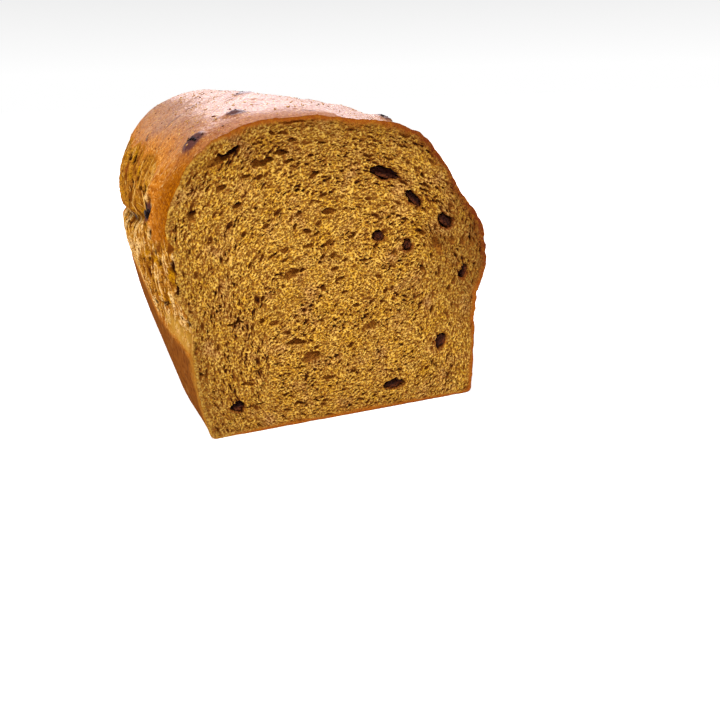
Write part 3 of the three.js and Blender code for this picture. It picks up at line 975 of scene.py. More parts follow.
HOLES = (
    # Long slits under the crown, on the left
    Hole(-44.9, 107.6, 17.5, 2.4, 4.0, 27.0, 0.9),
    Hole(-30.8, 105.2, 9.6, 2.6, 3.0, 12.0, 0.75),
    Hole(-23.8, 108.3, 7.6, 1.8, 2.6, 5.0, 0.85),
    Hole(-19.3, 112.5, 4.0, 1.6, 2.0, 8.0, 0.85),
    Hole(-26.3, 115.2, 2.6, 2.2, 2.0, 0.0, 0.75),
    Hole(-22.2, 115.1, 4.6, 1.3, 1.6, -4.0, 0.7),
    Hole(-21.0, 104.9, 5.5, 1.8, 2.2, 12.0, 0.75),
    Hole(-31.8, 112.4, 3.6, 1.2, 1.6, 10.0, 0.7),
    Hole(-18.5, 118.7, 11.0, 1.2, 1.8, 3.0, 0.95),
    Hole(-37.5, 100.6, 6.0, 1.6, 2.0, 14.0, 0.65),
    Hole(-46.5, 97.3, 5.0, 2.4, 2.2, 30.0, 0.65),
    Hole(-11.8, 99.6, 6.0, 2.0, 2.0, 30.0, 0.65),
    Hole(-57.4, 88.2, 4.6, 3.0, 2.8, 60.0, 1.0),
    Hole(-41.0, 90.7, 3.8, 2.4, 2.4, 40.0, 0.95),
    # Middle
    Hole(-6.3, 85.7, 6.6, 2.6, 2.5, -4.0, 0.85),
    Hole(-18.1, 86.3, 3.0, 1.6, 2.0, 15.0, 0.9),
    Hole(-31.0, 82.5, 3.2, 2.2, 1.8, 20.0, 0.6),
    Hole(-19.9, 81.3, 3.0, 1.8, 2.0, 40.0, 0.85),
    Hole(-15.1, 79.4, 3.0, 1.8, 2.0, -10.0, 0.85),
    Hole(-11.8, 78.0, 3.4, 1.6, 2.0, 15.0, 0.9),
    Hole(-24.1, 72.7, 3.6, 2.4, 2.0, 0.0, 0.5),
    Hole(-29.0, 71.0, 4.4, 1.5, 2.0, 30.0, 0.9),
    Hole(-15.0, 73.5, 4.0, 2.0, 1.8, 0.0, 0.5),
    Hole(-6.9, 73.9, 4.0, 2.2, 1.8, 20.0, 0.55),
    Hole(-5.3, 68.8, 3.6, 2.2, 1.8, 5.0, 0.5),
    Hole(-4.2, 63.2, 4.0, 2.0, 1.8, 10.0, 0.5),
    Hole(-22.0, 63.1, 8.0, 3.2, 2.6, 22.0, 0.6),
    Hole(-2.7, 58.8, 4.4, 2.0, 2.0, 20.0, 0.85),
    Hole(13.9, 57.9, 4.2, 2.0, 2.0, -10.0, 0.75),
    Hole(-9.5, 56.4, 2.2, 1.6, 2.0, 40.0, 0.95),
    Hole(3.9, 47.6, 2.6, 1.8, 2.0, 0.0, 0.95),
    Hole(8.3, 65.1, 2.4, 1.8, 2.0, 50.0, 0.95),
    Hole(2.5, 75.2, 3.0, 1.6, 1.8, 25.0, 0.75),
    Hole(15.0, 80.9, 3.4, 2.0, 1.8, 0.0, 0.5),
    Hole(20.9, 67.1, 3.4, 2.6, 1.4, 0.0, 0.4),
    # Arc beside the right shoulder
    Hole(18.6, 103.8, 5.5, 1.2, 1.8, -10.0, 0.8),
    Hole(30.6, 98.4, 5.0, 2.6, 1.6, -45.0, 0.35),
    Hole(33.3, 96.3, 2.2, 1.5, 2.0, -45.0, 0.95),
    Hole(34.2, 93.2, 2.6, 1.6, 2.0, -30.0, 0.9),
    Hole(35.1, 90.8, 2.8, 1.4, 2.0, -25.0, 0.95),
    Hole(38.2, 87.5, 1.8, 1.6, 2.0, 0.0, 0.95),
    Hole(39.9, 86.0, 2.2, 1.3, 2.0, -10.0, 0.9),
    Hole(30.6, 83.7, 2.8, 1.6, 1.8, -40.0, 0.85),
    Hole(34.4, 83.0, 3.4, 1.4, 1.8, -38.0, 0.9),
    Hole(45.9, 83.7, 4.0, 2.0, 1.6, -30.0, 0.5),
    Hole(37.4, 101.0, 6.0, 2.0, 1.2, -38.0, 0.5),
    Hole(33.2, 73.6, 3.4, 2.4, 2.0, -50.0, 0.8),
    Hole(40.0, 67.6, 10.0, 4.4, 2.2, -62.0, 0.25),
    Hole(46.8, 69.8, 4.6, 2.6, 1.4, -70.0, 0.3),
    Hole(51.6, 69.4, 4.4, 2.2, 1.4, 80.0, 0.45),
    Hole(55.0, 69.1, 7.0, 1.8, 3.0, -78.0, 0.95),
    Hole(60.4, 62.5, 11.0, 0.9, 1.6, -86.0, 0.95),
    Hole(57.1, 56.9, 4.6, 1.1, 2.0, 82.0, 0.95),
    Hole(36.6, 64.6, 3.0, 1.6, 2.0, -70.0, 0.9),
    Hole(33.3, 59.6, 4.4, 2.6, 2.2, -50.0, 0.85),
    Hole(39.8, 55.9, 2.8, 1.6, 1.8, -60.0, 0.9),
    Hole(48.2, 52.3, 5.0, 2.2, 1.6, 85.0, 0.4),
    Hole(45.8, 49.6, 4.0, 1.3, 1.8, 85.0, 0.75),
    # Lower part
    Hole(9.7, 37.6, 7.0, 3.0, 2.0, 8.0, 0.4),
    Hole(-8.3, 18.5, 6.0, 2.6, 2.4, 0.0, 0.6),
    Hole(-15.6, 28.4, 9.0, 4.6, 2.6, 12.0, 0.6),
    Hole(-21.5, 35.3, 9.6, 2.0, 2.6, -2.0, 0.85),
    Hole(-21.2, 24.7, 6.0, 1.2, 1.6, 8.0, 0.65),
    Hole(-34.8, 45.9, 2.4, 2.2, 2.4, 0.0, 1.0),
    Hole(-29.9, 44.7, 4.2, 2.4, 1.8, 10.0, 0.5),
    Hole(-45.4, 46.6, 6.8, 1.5, 3.4, 4.0, 1.0),
    Hole(-37.6, 26.4, 5.4, 1.2, 1.6, 3.0, 0.85),
    Hole(-42.0, 21.0, 6.4, 1.6, 1.8, -12.0, 0.7),
    Hole(-61.2, 38.5, 6.6, 1.3, 3.0, -84.0, 1.0),
    Hole(-59.4, 27.5, 3.4, 1.5, 2.0, -55.0, 0.9),
    Hole(-40.2, 11.4, 9.0, 1.1, 2.0, 2.0, 0.95),
)


@dataclass(frozen=True)
class PoreSizes:
    """Sizes of one kind of pore, each as least and greatest."""

    spacing: float
    share: float  # of the places that hold one
    width: Span
    stretch: Span  # length as a multiple of the width
    depth: float
    dark: float  # strength of the painted shade inside it, from 0 to 1
    crowding: float  # how much it keeps to the looser layers, from 0 to 1


PORES = (
    PoreSizes(0.8, 0.9, (0.4, 0.85), (1.0, 1.7), depth=0.4, dark=0.54, crowding=0.1),
    PoreSizes(1.5, 0.45, (0.5, 1.05), (1.0, 2.0), depth=0.8, dark=0.84, crowding=0.4),
    PoreSizes(2.8, 0.5, (0.7, 1.4), (1.1, 2.3), depth=1.2, dark=0.9, crowding=0.5),
    PoreSizes(8.0, 0.5, (1.1, 2.1), (1.1, 2.2), depth=1.7, dark=0.8, crowding=0.2),
)


@dataclass(frozen=True)
class Flow:
    """Directions in which the dough was stretched: along the nearest crust, or level inside."""

    middle: tuple[float, float] = (TIN_MIDDLE, 46.0)
    half: tuple[float, float] = (64.0, 78.0)
    power: float = 2.6
    inner_tilt: float = 0.25  # radians from level, in the middle of the crumb
    inner: float = 0.25  # share of the way out where the middle ends
    outer: float = 0.75  # share of the way out where the crust decides
    layer_middle: float = 20.0  # height of the middle of the arcs that the layers follow
    stripes: Pattern = Pattern(1.0, (26.0, 3.2, 5.0), 3, 160.0)

    def outer_share(self, x: np.ndarray, z: np.ndarray) -> np.ndarray:
        """How much the nearest crust decides at places on the cut face, from 0 to 1."""
        across = np.abs(x - self.middle[0]) / self.half[0]
        up = np.abs(z - self.middle[1]) / self.half[1]
        return smoothstep(np.maximum(across, up), self.inner, self.outer)

    def angle(self, x: np.ndarray, z: np.ndarray) -> np.ndarray:
        """Direction of the stretch at places on the cut face, in radians from level."""
        across = (x - self.middle[0]) / self.half[0]
        up = (z - self.middle[1]) / self.half[1]
        steep_x = np.sign(across) * np.abs(across) ** (self.power - 1) / self.half[0]
        steep_z = np.sign(up) * np.abs(up) ** (self.power - 1) / self.half[1]
        along_crust = np.arctan2(-steep_x, steep_z)
        share = self.outer_share(x, z)
        twice_x = lerp(math.cos(2 * self.inner_tilt), np.cos(2 * along_crust), share)
        twice_z = lerp(math.sin(2 * self.inner_tilt), np.sin(2 * along_crust), share)
        return np.arctan2(twice_z, twice_x) / 2

    def layers(self, x: np.ndarray, z: np.ndarray, noise: Noise) -> np.ndarray:
        """Stripes of tighter and looser crumb, parallel to the crown, from -1 to 1."""
        dx, dz = x - self.middle[0], z - self.layer_middle
        around = np.arctan2(dx, dz) * self.half[0]
        place = np.stack([around, np.hypot(dx, dz), 0.0 * x], axis=-1)
        return self.stripes.of(noise, place)


class PoreField:
    """Pores scattered over the cut face, at most one in each square of a grid."""

    SMALL = 1.5  # the higher, the more of the pores are small
    THINNED = 0.15  # how much narrower pores are where the dough was stretched
    DRAWN_OUT = 0.6  # and how much longer
    SCATTER = 0.9  # radians over which their direction varies
    LOOSE = 1.4  # the scatter fades from this to less where the dough was stretched

    def __init__(self, sizes: PoreSizes, seed: int, reach: float = 160.0) -> None:
        """Draws every pore.

        Args:
            sizes: Sizes of the pores.
            seed: Start of the random draw.
            reach: Half of the side of the square that the pores cover.
        """
        self.sizes = sizes
        self.reach = reach
        count = int(2 * reach / sizes.spacing)
        draw = np.random.default_rng(seed).random((6, count, count))
        grid = np.stack(np.meshgrid(*[np.arange(count)] * 2, indexing="ij"))
        self.middle = (grid + draw[:2]) * sizes.spacing - reach
        flow = Flow()
        stretched = flow.outer_share(*self.middle)
        width = lerp(*sizes.width, draw[2] ** self.SMALL)
        self.width = width * (1.0 - self.THINNED * stretched)
        drawn_out = 1.0 + self.DRAWN_OUT * stretched
        self.length = self.width * lerp(*sizes.stretch, draw[3]) * drawn_out
        scatter = self.SCATTER * (draw[4] - 0.5) * (self.LOOSE - stretched)
        self.angle = flow.angle(*self.middle) + scatter
        self.there = draw[5] < sizes.share
        self.count = count

    def openness(self, x: np.ndarray, z: np.ndarray) -> np.ndarray:
        """How far inside a pore each point is, from 0 at its edge to 1 in its middle."""
        cell = [np.floor((c + self.reach) / self.sizes.spacing).astype(int) for c in (x, z)]
        best = np.zeros(x.shape)
        for dx, dz in product((-1, 0, 1), repeat=2):
            i, k = (np.clip(c + d, 0, self.count - 1) for c, d in zip(cell, (dx, dz)))
            cx, cz = self.middle[:, i, k]
            angle = self.angle[i, k]
            along = (x - cx) * np.cos(angle) + (z - cz) * np.sin(angle)
            across = (z - cz) * np.cos(angle) - (x - cx) * np.sin(angle)
            far = (2 * along / self.length[i, k]) ** 2 + (2 * across / self.width[i, k]) ** 2
            inside = np.where(self.there[i, k], np.clip(1.0 - far, 0.0, 1.0), 0.0)
            best = np.maximum(best, inside)
        return best


@dataclass(frozen=True)
class CutRaisin:
    """Raisin that the knife cut: middle on the cut face, sizes, tilt and how it lies.

    The hollow is how far its cut surface lies behind the face at its upper edge. Some have
    browner flesh than others.
    """

    x: float
    z: float
    length: float
    height: float
    tilt: float
    hollow: float
    brown: float


CUT_RAISINS = (
    CutRaisin(17.0, 98.6, 11.6, 3.8, -15.0, 2.6, 0.15),
    CutRaisin(29.5, 87.8, 8.6, 3.2, -42.0, 1.4, 0.1),
    CutRaisin(43.4, 77.9, 7.2, 3.8, -40.0, 1.2, 0.35),
    CutRaisin(14.0, 74.6, 5.2, 3.6, -8.0, 1.0, 0.55),
    CutRaisin(26.6, 69.8, 4.0, 3.6, 60.0, 1.0, 0.9),
    CutRaisin(52.4, 56.2, 6.0, 2.6, 80.0, 1.6, 0.1),
    CutRaisin(42.3, 26.5, 6.2, 4.4, 60.0, 1.2, 0.35),
    CutRaisin(20.7, 10.4, 8.4, 3.2, 6.0, 1.2, 0.2),
    CutRaisin(-47.0, 12.3, 5.4, 3.8, 12.0, 1.6, 0.0),
)


@dataclass(frozen=True)
class CrumbRelief:
    """Fine relief of the cut face, in millimetres, and where its shades begin and end."""

    warp: tuple[Pattern, Pattern] = (Pattern(0.5, 2.2, 2), Pattern(0.5, 2.2, 2, 50.0))
    ragged: tuple[Pattern, Pattern] = (
        Pattern(1.1, 2.6, 3, 70.0),
        Pattern(1.1, 2.6, 3, 80.0),
    )
    sunk: float = 0.15  # the face lies this far behind the cut, so that its waves stay behind it
    waves: Pattern = Pattern(0.12, 1.6, 2, 90.0)
    layer_height: float = 0.15
    loose: Span = (-0.3, 0.3)  # of the layers
    rim_fade: Span = (0.3, 2.4)  # from the outline inwards, pores grow to their full depth
    hollow_calm: float = 0.5  # how much shallower pores are inside a large hole
    overlap: float = 0.5  # how much shallower a pore is inside another
    layer_least: float = 0.7  # strength of the layers' colour where the crumb has no painted shade
    beside_crust: float = 0.25  # how much painted shade darkens the crumb beside the crust
    beside_reach: float = 5.0
    half: tuple[float, float] = (62.0, 60.0)  # of the face, for the painted shade near the crust
    middle_z: float = 62.0
    shade_from: Span = (0.4, 1.0)  # of the way from the middle to the crust
    shade_out: float = 0.3
    low_left_x: Span = (14.0, 62.0)
    low_left_z: Span = (-85.0, -15.0)
    shade_low_left: float = 0.3
    right_x: Span = (12.0, 52.0)
    right_z: float = 66.0
    right_reach: float = 34.0
    shade_right: float = 0.6
    top_z: Span = (84.0, 116.0)
    shade_top: float = 0.35
    hole_edge: Span = (0.9, 0.3)  # how gently a hole deepens, at its lower and its upper edge
    hole_sunk: Span = (0.45, 1.0)  # how deep it is there, as a share of its depth
    hole_shade: Span = (0.35, 0.9)  # its painted shade, all over and more at the shaded upper edge
    hole_mark: float = 0.5
    stain_fade: Span = (0.0, 0.6)
    stain_turn: Span = (-1.0, 1.0)  # from above a raisin's middle to below it
    stain_share: Span = (0.4, 1.0)
    rim_right_x: Span = (10.0, 45.0)
    rim_right_z: Span = (42.0, 70.0)
    rim_left_x: Span = (35.0, 58.0)
    rim_uneven: Pattern = Pattern(0.7, 5.0, 3, 120.0)
    rim_width: tuple[float, float, float] = (2.7, 1.4, -1.4)  # all round, added right and left
    rim_left_lost: float = 0.85
    rim_red: tuple[float, float, float] = (0.15, 1.0, -0.3)


@dataclass
class Crumb:
    """Cut face: dense sheets with every pore sunk in them, over a thin slab of bread."""

    skin: Skin
    material: bpy.types.Material
    across: int = 580  # faces from side to side and from base to crown
    middle: tuple[float, float] = (TIN_MIDDLE, 55.0)
    pore_edge: float = 0.42  # the lower, the steeper the pores are at their edge
    slab: float = 7.0  # thickness of the slab behind the face
    edge: float = 3.0  # along the crust the slab is only this thick
    inset: float = 3.0  # and its back lies this far inside the crust, which dips there
    core_out: tuple[float, float] = (32.0, 26.0)  # a quarter's back runs to this far off middle
    core_depth: float = 40.0
    pocket_depth: float = 6.0
    pocket_gap: float = 0.35
    stain_gap: float = 1.8  # juice stained the crumb this far round each raisin, most below it
    corners: tuple[float, ...] = (0.0, 1.0, 4.52, 5.5, 9.0)  # places of the face's corners
    relief: CrumbRelief = CrumbRelief()

    def build(self) -> None:
        """Makes the face in quarters that meet in its middle."""
        self.noise = Noise(seed=11)
        self.pores = [PoreField(sizes, seed=20 + k) for k, sizes in enumerate(PORES)]
        for side, up in product((-1, 1), repeat=2):
            bm, share = unit_grid(self.across // 2, self.across // 2)
            square = share - 0.5 + (side / 2, up / 2)
            x, z, rim = self._laid_out(square)
            depth, marks = self._surface(x, z, rim)
            set_places(bm, np.stack([x, FRONT + depth, z], axis=-1))
            set_marks(bm, marks)
            core_x = self.middle[0] + side * self.core_out[0]
            core_z = self.middle[1] + up * self.core_out[1]
            outer = np.abs(square).max(axis=1) > 1.0 - TINY
            self._back(bm, outer, (core_x, FRONT + self.core_depth, core_z))
            name = f"crumb_{'upper' if up > 0 else 'lower'}_{'right' if side > 0 else 'left'}"
            finished(bm, name, self.material, Slot.BREAD, "loaf")

    def _outline(self) -> tuple[np.ndarray, np.ndarray]:
        """Ring of the cut, and how far each of its points is along it."""
        ring = self.skin.points[0][:, [0, 2]]
        ring = np.concatenate([ring, ring[:1]])
        walked = np.cumsum(np.hypot(*np.diff(ring, axis=0).T))
        return ring, np.concatenate([[0.0], walked])

    def _laid_out(self, square: np.ndarray) -> tuple[np.ndarray, np.ndarray, np.ndarray]:
        """Bends a square into the outline of the cut.

        Args:
            square: Places on the square, from -1 to 1 each way.

        Returns:
            x and z of each place, and its distance from the outline.
        """
        ring, walked = self._outline()
        places = np.concatenate([self.skin.places, [self.skin.places[0] + len(Stretch)]])
        a, b = square.T
        radius = np.maximum(np.abs(a), np.abs(b))
        safe = np.maximum(radius, TINIEST)
        a, b = a / safe, b / safe
        knots = np.interp(self.corners, places, walked)
        knots[-1] = knots[0] + walked[-1]
        below, right, above = b <= -1.0 + TINIEST, a >= 1.0 - TINIEST, b >= 1.0 - TINIEST
        side = np.select([below, right, above], [0, 1, 2], default=3)
        t = np.select([below, right, above], [1 + a, 1 + b, 1 - a], default=1 - b) / 2
        wanted = np.mod(lerp(knots[side], knots[side + 1], t), walked[-1])
        edge_x = np.interp(wanted, walked, ring[:, 0])
        edge_z = np.interp(wanted, walked, ring[:, 1])
        x = lerp(self.middle[0], edge_x, radius)
        z = lerp(self.middle[1], edge_z, radius)
        return x, z, np.hypot(edge_x - x, edge_z - z)

    def _surface(
        self, x: np.ndarray, z: np.ndarray, rim: np.ndarray
    ) -> tuple[np.ndarray, dict[str, np.ndarray]]:
        """Depth of the crumb behind the cut at each place, and the marks for its colours."""
        relief, noise = self.relief, self.noise
        flat = np.stack([x, 0.0 * x, z], axis=-1)
        warped = [c + warp.of(noise, flat) for c, warp in zip((x, z), relief.warp)]
        ragged = [c + edge.of(noise, flat) for c, edge in zip((x, z), relief.ragged)]
        hollow, hole_shade, hole_depth = self._holes(*ragged)
        pocket, stain = self._pockets(*ragged)
        layers = Flow().layers(x, z, noise)
        loose = smoothstep(layers, *relief.loose)
        rim_fade = smoothstep(rim, *relief.rim_fade)
        shade = self._painted_shade(x, z) + relief.beside_crust * bell(rim, relief.beside_reach)
        depth = relief.sunk + relief.waves.of(noise, flat)
        depth = depth + relief.layer_height * layers * rim_fade
        # the pore mark holds the painted shade inside the pores, and the holes and raisin pockets
        # add theirs
        pore = np.zeros(x.shape)
        for sizes, pores in zip(PORES, self.pores):
            weight = (1.0 - relief.hollow_calm * hollow) * rim_fade
            weight = weight * (1.0 - sizes.crowding * (1.0 - loose))
            inside = pores.openness(*warped) ** self.pore_edge * weight
            depth = depth + sizes.depth * inside * (1.0 - relief.overlap * pore)
            pore = np.maximum(pore, inside * sizes.dark)
        depth = depth + hole_depth
        depth = np.where(pocket > 0, np.maximum(depth, self.pocket_depth), depth)
        marks = {
            "pore": np.maximum(np.maximum(pore, hole_shade), pocket),
            "hollow": hollow,
            "layer": layers * (relief.layer_least + shade),
            "shade": shade,
            "stain": stain,
            **self._rim(x, z, rim),
        }
        return depth, marks

    def _painted_shade(self, x: np.ndarray, z: np.ndarray) -> np.ndarray:
        """Painted shade on the crumb near the crust: most at the lower left, the right and the
        top.
        """
        relief = self.relief
        across = np.abs(x - TIN_MIDDLE) / relief.half[0]
        up = np.abs(z - relief.middle_z) / relief.half[1]
        out = smoothstep(np.maximum(across, up), *relief.shade_from)
        low_left = smoothstep(TIN_MIDDLE - x, *relief.low_left_x)
        low_left = low_left * smoothstep(-z, *relief.low_left_z)
        right = smoothstep(x, *relief.right_x) * bell(z - relief.right_z, relief.right_reach)
        top = smoothstep(z, *relief.top_z)
        shade = relief.shade_out * out + relief.shade_low_left * low_left
        return shade + relief.shade_right * right + relief.shade_top * top

    def _holes(
        self, x: np.ndarray, z: np.ndarray
    ) -> tuple[np.ndarray, np.ndarray, np.ndarray]:
        """Large holes, steep at their upper edge: share inside, painted shade (most there) and
        depth.
        """
        relief = self.relief
        mark, dark, depth = (np.zeros(x.shape) for _ in range(3))
        for hole in HOLES:
            inside = ellipse_inside(x, z, hole, 0.0)
            upper = np.clip((z - hole.z) / hole.height + 0.5, 0.0, 1.0)
            edge, share = lerp(*relief.hole_edge, upper), lerp(*relief.hole_sunk, upper)
            sunk = smoothstep(inside, 0.0, edge) * share
            all_over, above = relief.hole_shade
            mark = np.maximum(mark, smoothstep(inside, 0.0, relief.hole_mark))
            shadow = all_over * hole.dark + above * hole.dark * upper
            dark = np.maximum(dark, sunk * shadow)
            depth = np.maximum(depth, hole.depth * sunk)
        return mark, dark, depth

    def _pockets(self, x: np.ndarray, z: np.ndarray) -> tuple[np.ndarray, np.ndarray]:
        """1 inside the pockets that hold the cut raisins, and the stain round them."""
        relief = self.relief
        pocket, stain = np.zeros(x.shape), np.zeros(x.shape)
        for raisin in CUT_RAISINS:
            pocket = np.maximum(pocket, ellipse_inside(x, z, raisin, self.pocket_gap) > 0)
            near = ellipse_inside(x, z, raisin, self.stain_gap)
            below = smoothstep(raisin.z - z, *relief.stain_turn)
            wet = smoothstep(near, *relief.stain_fade) * lerp(*relief.stain_share, below)
            stain = np.maximum(stain, wet)
        return pocket, stain

    def _rim(self, x: np.ndarray, z: np.ndarray, rim: np.ndarray) -> dict[str, np.ndarray]:
        """Share of baked crust that shows along the edge of the cut, and how red it is."""
        relief = self.relief
        right = smoothstep(x, *relief.rim_right_x) * smoothstep(z, *relief.rim_right_z)
        left = smoothstep(-x, *relief.rim_left_x)
        place = np.stack([x, 0.0 * x, z], axis=-1)
        uneven = 1.0 + relief.rim_uneven.of(self.noise, place)
        width, on_right, on_left = relief.rim_width
        thickness = (width + on_right * right + on_left * left) * uneven
        baked = np.clip(1.0 - rim / thickness, 0.0, 1.0) * (1.0 - relief.rim_left_lost * left)
        red, red_right, red_left = relief.rim_red
        redness = np.clip(red + red_right * right + red_left * left, 0.0, 1.0)
        return {"rim": baked, "red": redness}

    def _back(
        self, bm: bmesh.types.BMesh, outer: np.ndarray, core: tuple[float, float, float]
    ) -> None:
        """Gives the sheet a wall and a back.

        Args:
            bm: Sheet of the face.
            outer: Whether each vertex lies on the outline of the cut.
            core: Point that the back runs to, in millimetres.
        """
        along_crust = {vertex.co[:] for vertex, is_outer in zip(bm.verts, outer) if is_outer}
        border = [edge for edge in bm.edges if edge.is_boundary]
        for edge in border:
            edge.smooth = False
        made = bmesh.ops.extrude_edge_only(bm, edges=border)["geom"]
        middle = Vector((self.middle[0], 0.0, self.middle[1])) * MM
        for vertex in (item for item in made if isinstance(item, bmesh.types.BMVert)):
            if vertex.co[:] in along_crust:
                inward = Vector((middle.x - vertex.co.x, 0.0, middle.z - vertex.co.z))
                vertex.co += inward.normalized() * self.inset * MM
                vertex.co.y = (FRONT + self.edge) * MM
            else:
                vertex.co.y = (FRONT + self.slab) * MM
        close_to_core(bm, core)


def ellipse_inside(
    x: np.ndarray, z: np.ndarray, shape: Hole | CutRaisin, gap: float
) -> np.ndarray:
    """How far inside a tilted ellipse on the cut face each place is.

    Args:
        x: Places across the face.
        z: Heights.
        shape: The hole or raisin, placed from the tin's middle.
        gap: How much larger the ellipse is made all round.

    Returns:
        0 outside and 1 in the middle.
    """
    angle = math.radians(shape.tilt)
    dx, dz = x - shape.x - TIN_MIDDLE, z - shape.z
    along = dx * math.cos(angle) + dz * math.sin(angle)
    across = dz * math.cos(angle) - dx * math.sin(angle)
    far = (along / (shape.length / 2 + gap)) ** 2 + (across / (shape.height / 2 + gap)) ** 2
    return np.clip(1.0 - far, 0.0, 1.0)


# ---- Raisins ----


@dataclass(frozen=True)
class CrustRaisin:
    """Raisin that shows through the crust: its solid, sizes and tilt along the loaf."""

    node: str
    length: float
    height: float
    tilt: float
    swell: float  # how far the crust rises round it


CRUST_RAISINS = (
    CrustRaisin("raisin_side_1", 7.6, 5.6, 25.0, 1.2),
    CrustRaisin("raisin_side_2", 8.0, 6.0, -10.0, 1.0),
    CrustRaisin("raisin_crown_1", 8.0, 5.0, 20.0, 1.5),
    CrustRaisin("raisin_crown_2", 6.0, 4.6, 70.0, 1.5),
    CrustRaisin("raisin_crown_3", 6.4, 4.0, 10.0, 1.3),
    CrustRaisin("raisin_crown_4", 6.0, 4.4, -30.0, 1.4),
)


@dataclass
class Raisins:
    """Every raisin, wrinkled as it dried and swelled again in the dough."""

    skin: Skin
    material: bpy.types.Material
    detail: int = 5
    depth: float = 3.6  # how far a cut raisin reaches into the bread, either way from its middle
    sunk: float = 1.0  # its middle lies this far behind the cut face
    shrink: float = 0.25  # it has drawn back from its pocket by this much
    wrinkle: float = 0.5  # height of its large wrinkles
    flatness: float = 0.85  # thickness of a raisin in the crust, as a share of its height
    crust_wrinkle: float = 0.9  # height of the large wrinkles of such a raisin
    fold: float = 0.15  # how much the ball is folded, as a share of its size
    fine_share: float = 0.3  # height of the fine wrinkles, as a share of the large ones
    coarse: Pattern = Pattern(1.0, 2.6, 3)
    fine: Pattern = Pattern(1.0, 0.9, 2, 40.0)
    ridge_middle: float = 0.6
    torn_flesh: Pattern = Pattern(1.0, 1.9, 3)
    flesh_sunk: float = 0.3  # the cut flesh lies at least this far behind the face
    flesh_height: float = 0.9  # and is this uneven
    flesh_fade: float = 0.5
    lip_share: float = 0.55  # of the height of a cut raisin, its lower, lit part is browner, as painted light
    lip_fade: float = 0.45
    lit_lip_brown: float = 0.9
    brown_fold: float = 0.4  # folds of brown flesh stay this much darker

    def build(self) -> None:
        """Makes the raisins one by one."""
        self.noise = Noise(seed=5)
        for number, raisin in enumerate(CUT_RAISINS, start=1):
            self._cut_raisin(raisin, number)
        for raisin in CRUST_RAISINS:
            self._crust_raisin(raisin)

    def _ball(self, half: tuple[float, float, float], turn: Quaternion, place: Vector,
              seed: float, wrinkle: float) -> bmesh.types.BMesh:
        """Wrinkled ball, turned and put in place.

        Args:
            half: Half sizes in millimetres.
            turn: How it is turned.
            place: Its middle, in millimetres.
            seed: Moves the wrinkles, so that no two raisins are alike.
            wrinkle: Height of the large wrinkles, in millimetres.

        Returns:
            The mesh, in metres.
        """
        bm = bmesh.new()
        bmesh.ops.create_icosphere(bm, subdivisions=self.detail, radius=1.0)
        unit = np.array([vertex.co[:] for vertex in bm.verts])
        x, y, z = unit.T
        fold = np.sin(5 * x + 2 * y) * np.cos(6 * z - 3 * y)
        size = np.array(half)
        solid = unit * size
        wrinkles = self.coarse.ridges(self.noise, solid + seed) - self.ridge_middle
        fine = self.fine.ridges(self.noise, solid + seed) - self.ridge_middle
        share = (1 + self.fold * fold)[:, None]
        lift = (wrinkle * wrinkles + self.fine_share * wrinkle * fine)[:, None]
        places = solid * share + unit * lift
        matrix = np.array(turn.to_matrix())
        set_places(bm, places @ matrix.T + np.array(place))
        return bm

    def _cut_raisin(self, raisin: CutRaisin, number: int) -> None:
        """Raisin in the cut face, sliced by the knife and hollow where it dried."""
        half = (
            raisin.length / 2 - self.shrink,
            self.depth,
            raisin.height / 2 - self.shrink,
        )
        turn = Quaternion((0.0, -1.0, 0.0), math.radians(raisin.tilt))
        place = Vector((raisin.x + TIN_MIDDLE, FRONT + self.sunk, raisin.z))
        bm = self._ball(half, turn, place, 13.0 * number, self.wrinkle)
        points = np.array([vertex.co[:] for vertex in bm.verts]) / MM
        up = turn @ Vector((0.0, 0.0, 1.0))
        above = ((points - np.array(place)) @ np.array(up)) / raisin.height + 0.5
        uneven = self.torn_flesh.ridges(self.noise, points + 9.0 * number)
        level = FRONT + self.flesh_sunk + raisin.hollow * np.clip(above, 0.0, 1.0)
        level = level + self.flesh_height * (1.0 - uneven)
        behind = level - points[:, 1]
        points[:, 1] = np.maximum(points[:, 1], level)
        set_places(bm, points)
        flesh = smoothstep(behind, 0.0, self.flesh_fade)
        # painted light: the lower lip of the cut surface, on the lit side, is browner
        lip = self.lit_lip_brown * smoothstep(self.lip_share - above, 0.0, self.lip_fade)
        brown = lerp(lip, 1.0 - self.brown_fold * uneven, raisin.brown)
        set_marks(bm, {"flesh": flesh, "brown": flesh * np.clip(brown, 0.0, 1.0)})
        name = f"cut_raisin_{number}"
        finished(bm, name, self.material, Slot.RAISIN, f"raisin_cut_{number}")

    def _crust_raisin(self, raisin: CrustRaisin) -> None:
        """Raisin in the crust, lying along it."""
        low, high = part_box(raisin.node)
        place = (low + high) / 2 / MM
        offset = self.skin.points - np.array(place)
        nearest = np.unravel_index(np.argmin((offset**2).sum(axis=-1)), offset.shape[:2])
        outward = Vector(self.skin.outward[nearest])
        turn = laid_on(outward, math.radians(raisin.tilt))
        half = (raisin.length / 2, self.flatness * raisin.height / 2, raisin.height / 2)
        bm = self._ball(half, turn, place, 5.0 * place.x, self.crust_wrinkle)
        none = np.zeros(len(bm.verts))
        set_marks(bm, {"flesh": none, "brown": none})
        name = raisin.node.replace("raisin_", "").replace("_", "_raisin_", 1)
        finished(bm, name, self.material, Slot.RAISIN, raisin.node)


def laid_on(outward: Vector, tilt: float) -> Quaternion:
    """Turn that lays a length on the crust, with its thickness pointing outwards.

    Args:
        outward: Outward direction of the crust.
        tilt: Angle of the length from the loaf's own, in radians.

    Returns:
        The turn.
    """
    along = Vector((0.0, 1.0, 0.0))
    up = outward.cross(along)
    length = along * math.cos(tilt) + up * math.sin(tilt)
    width = outward.cross(length)
    return Matrix((length, outward, -width)).transposed().to_quaternion()


# ---- Small loose pieces ----


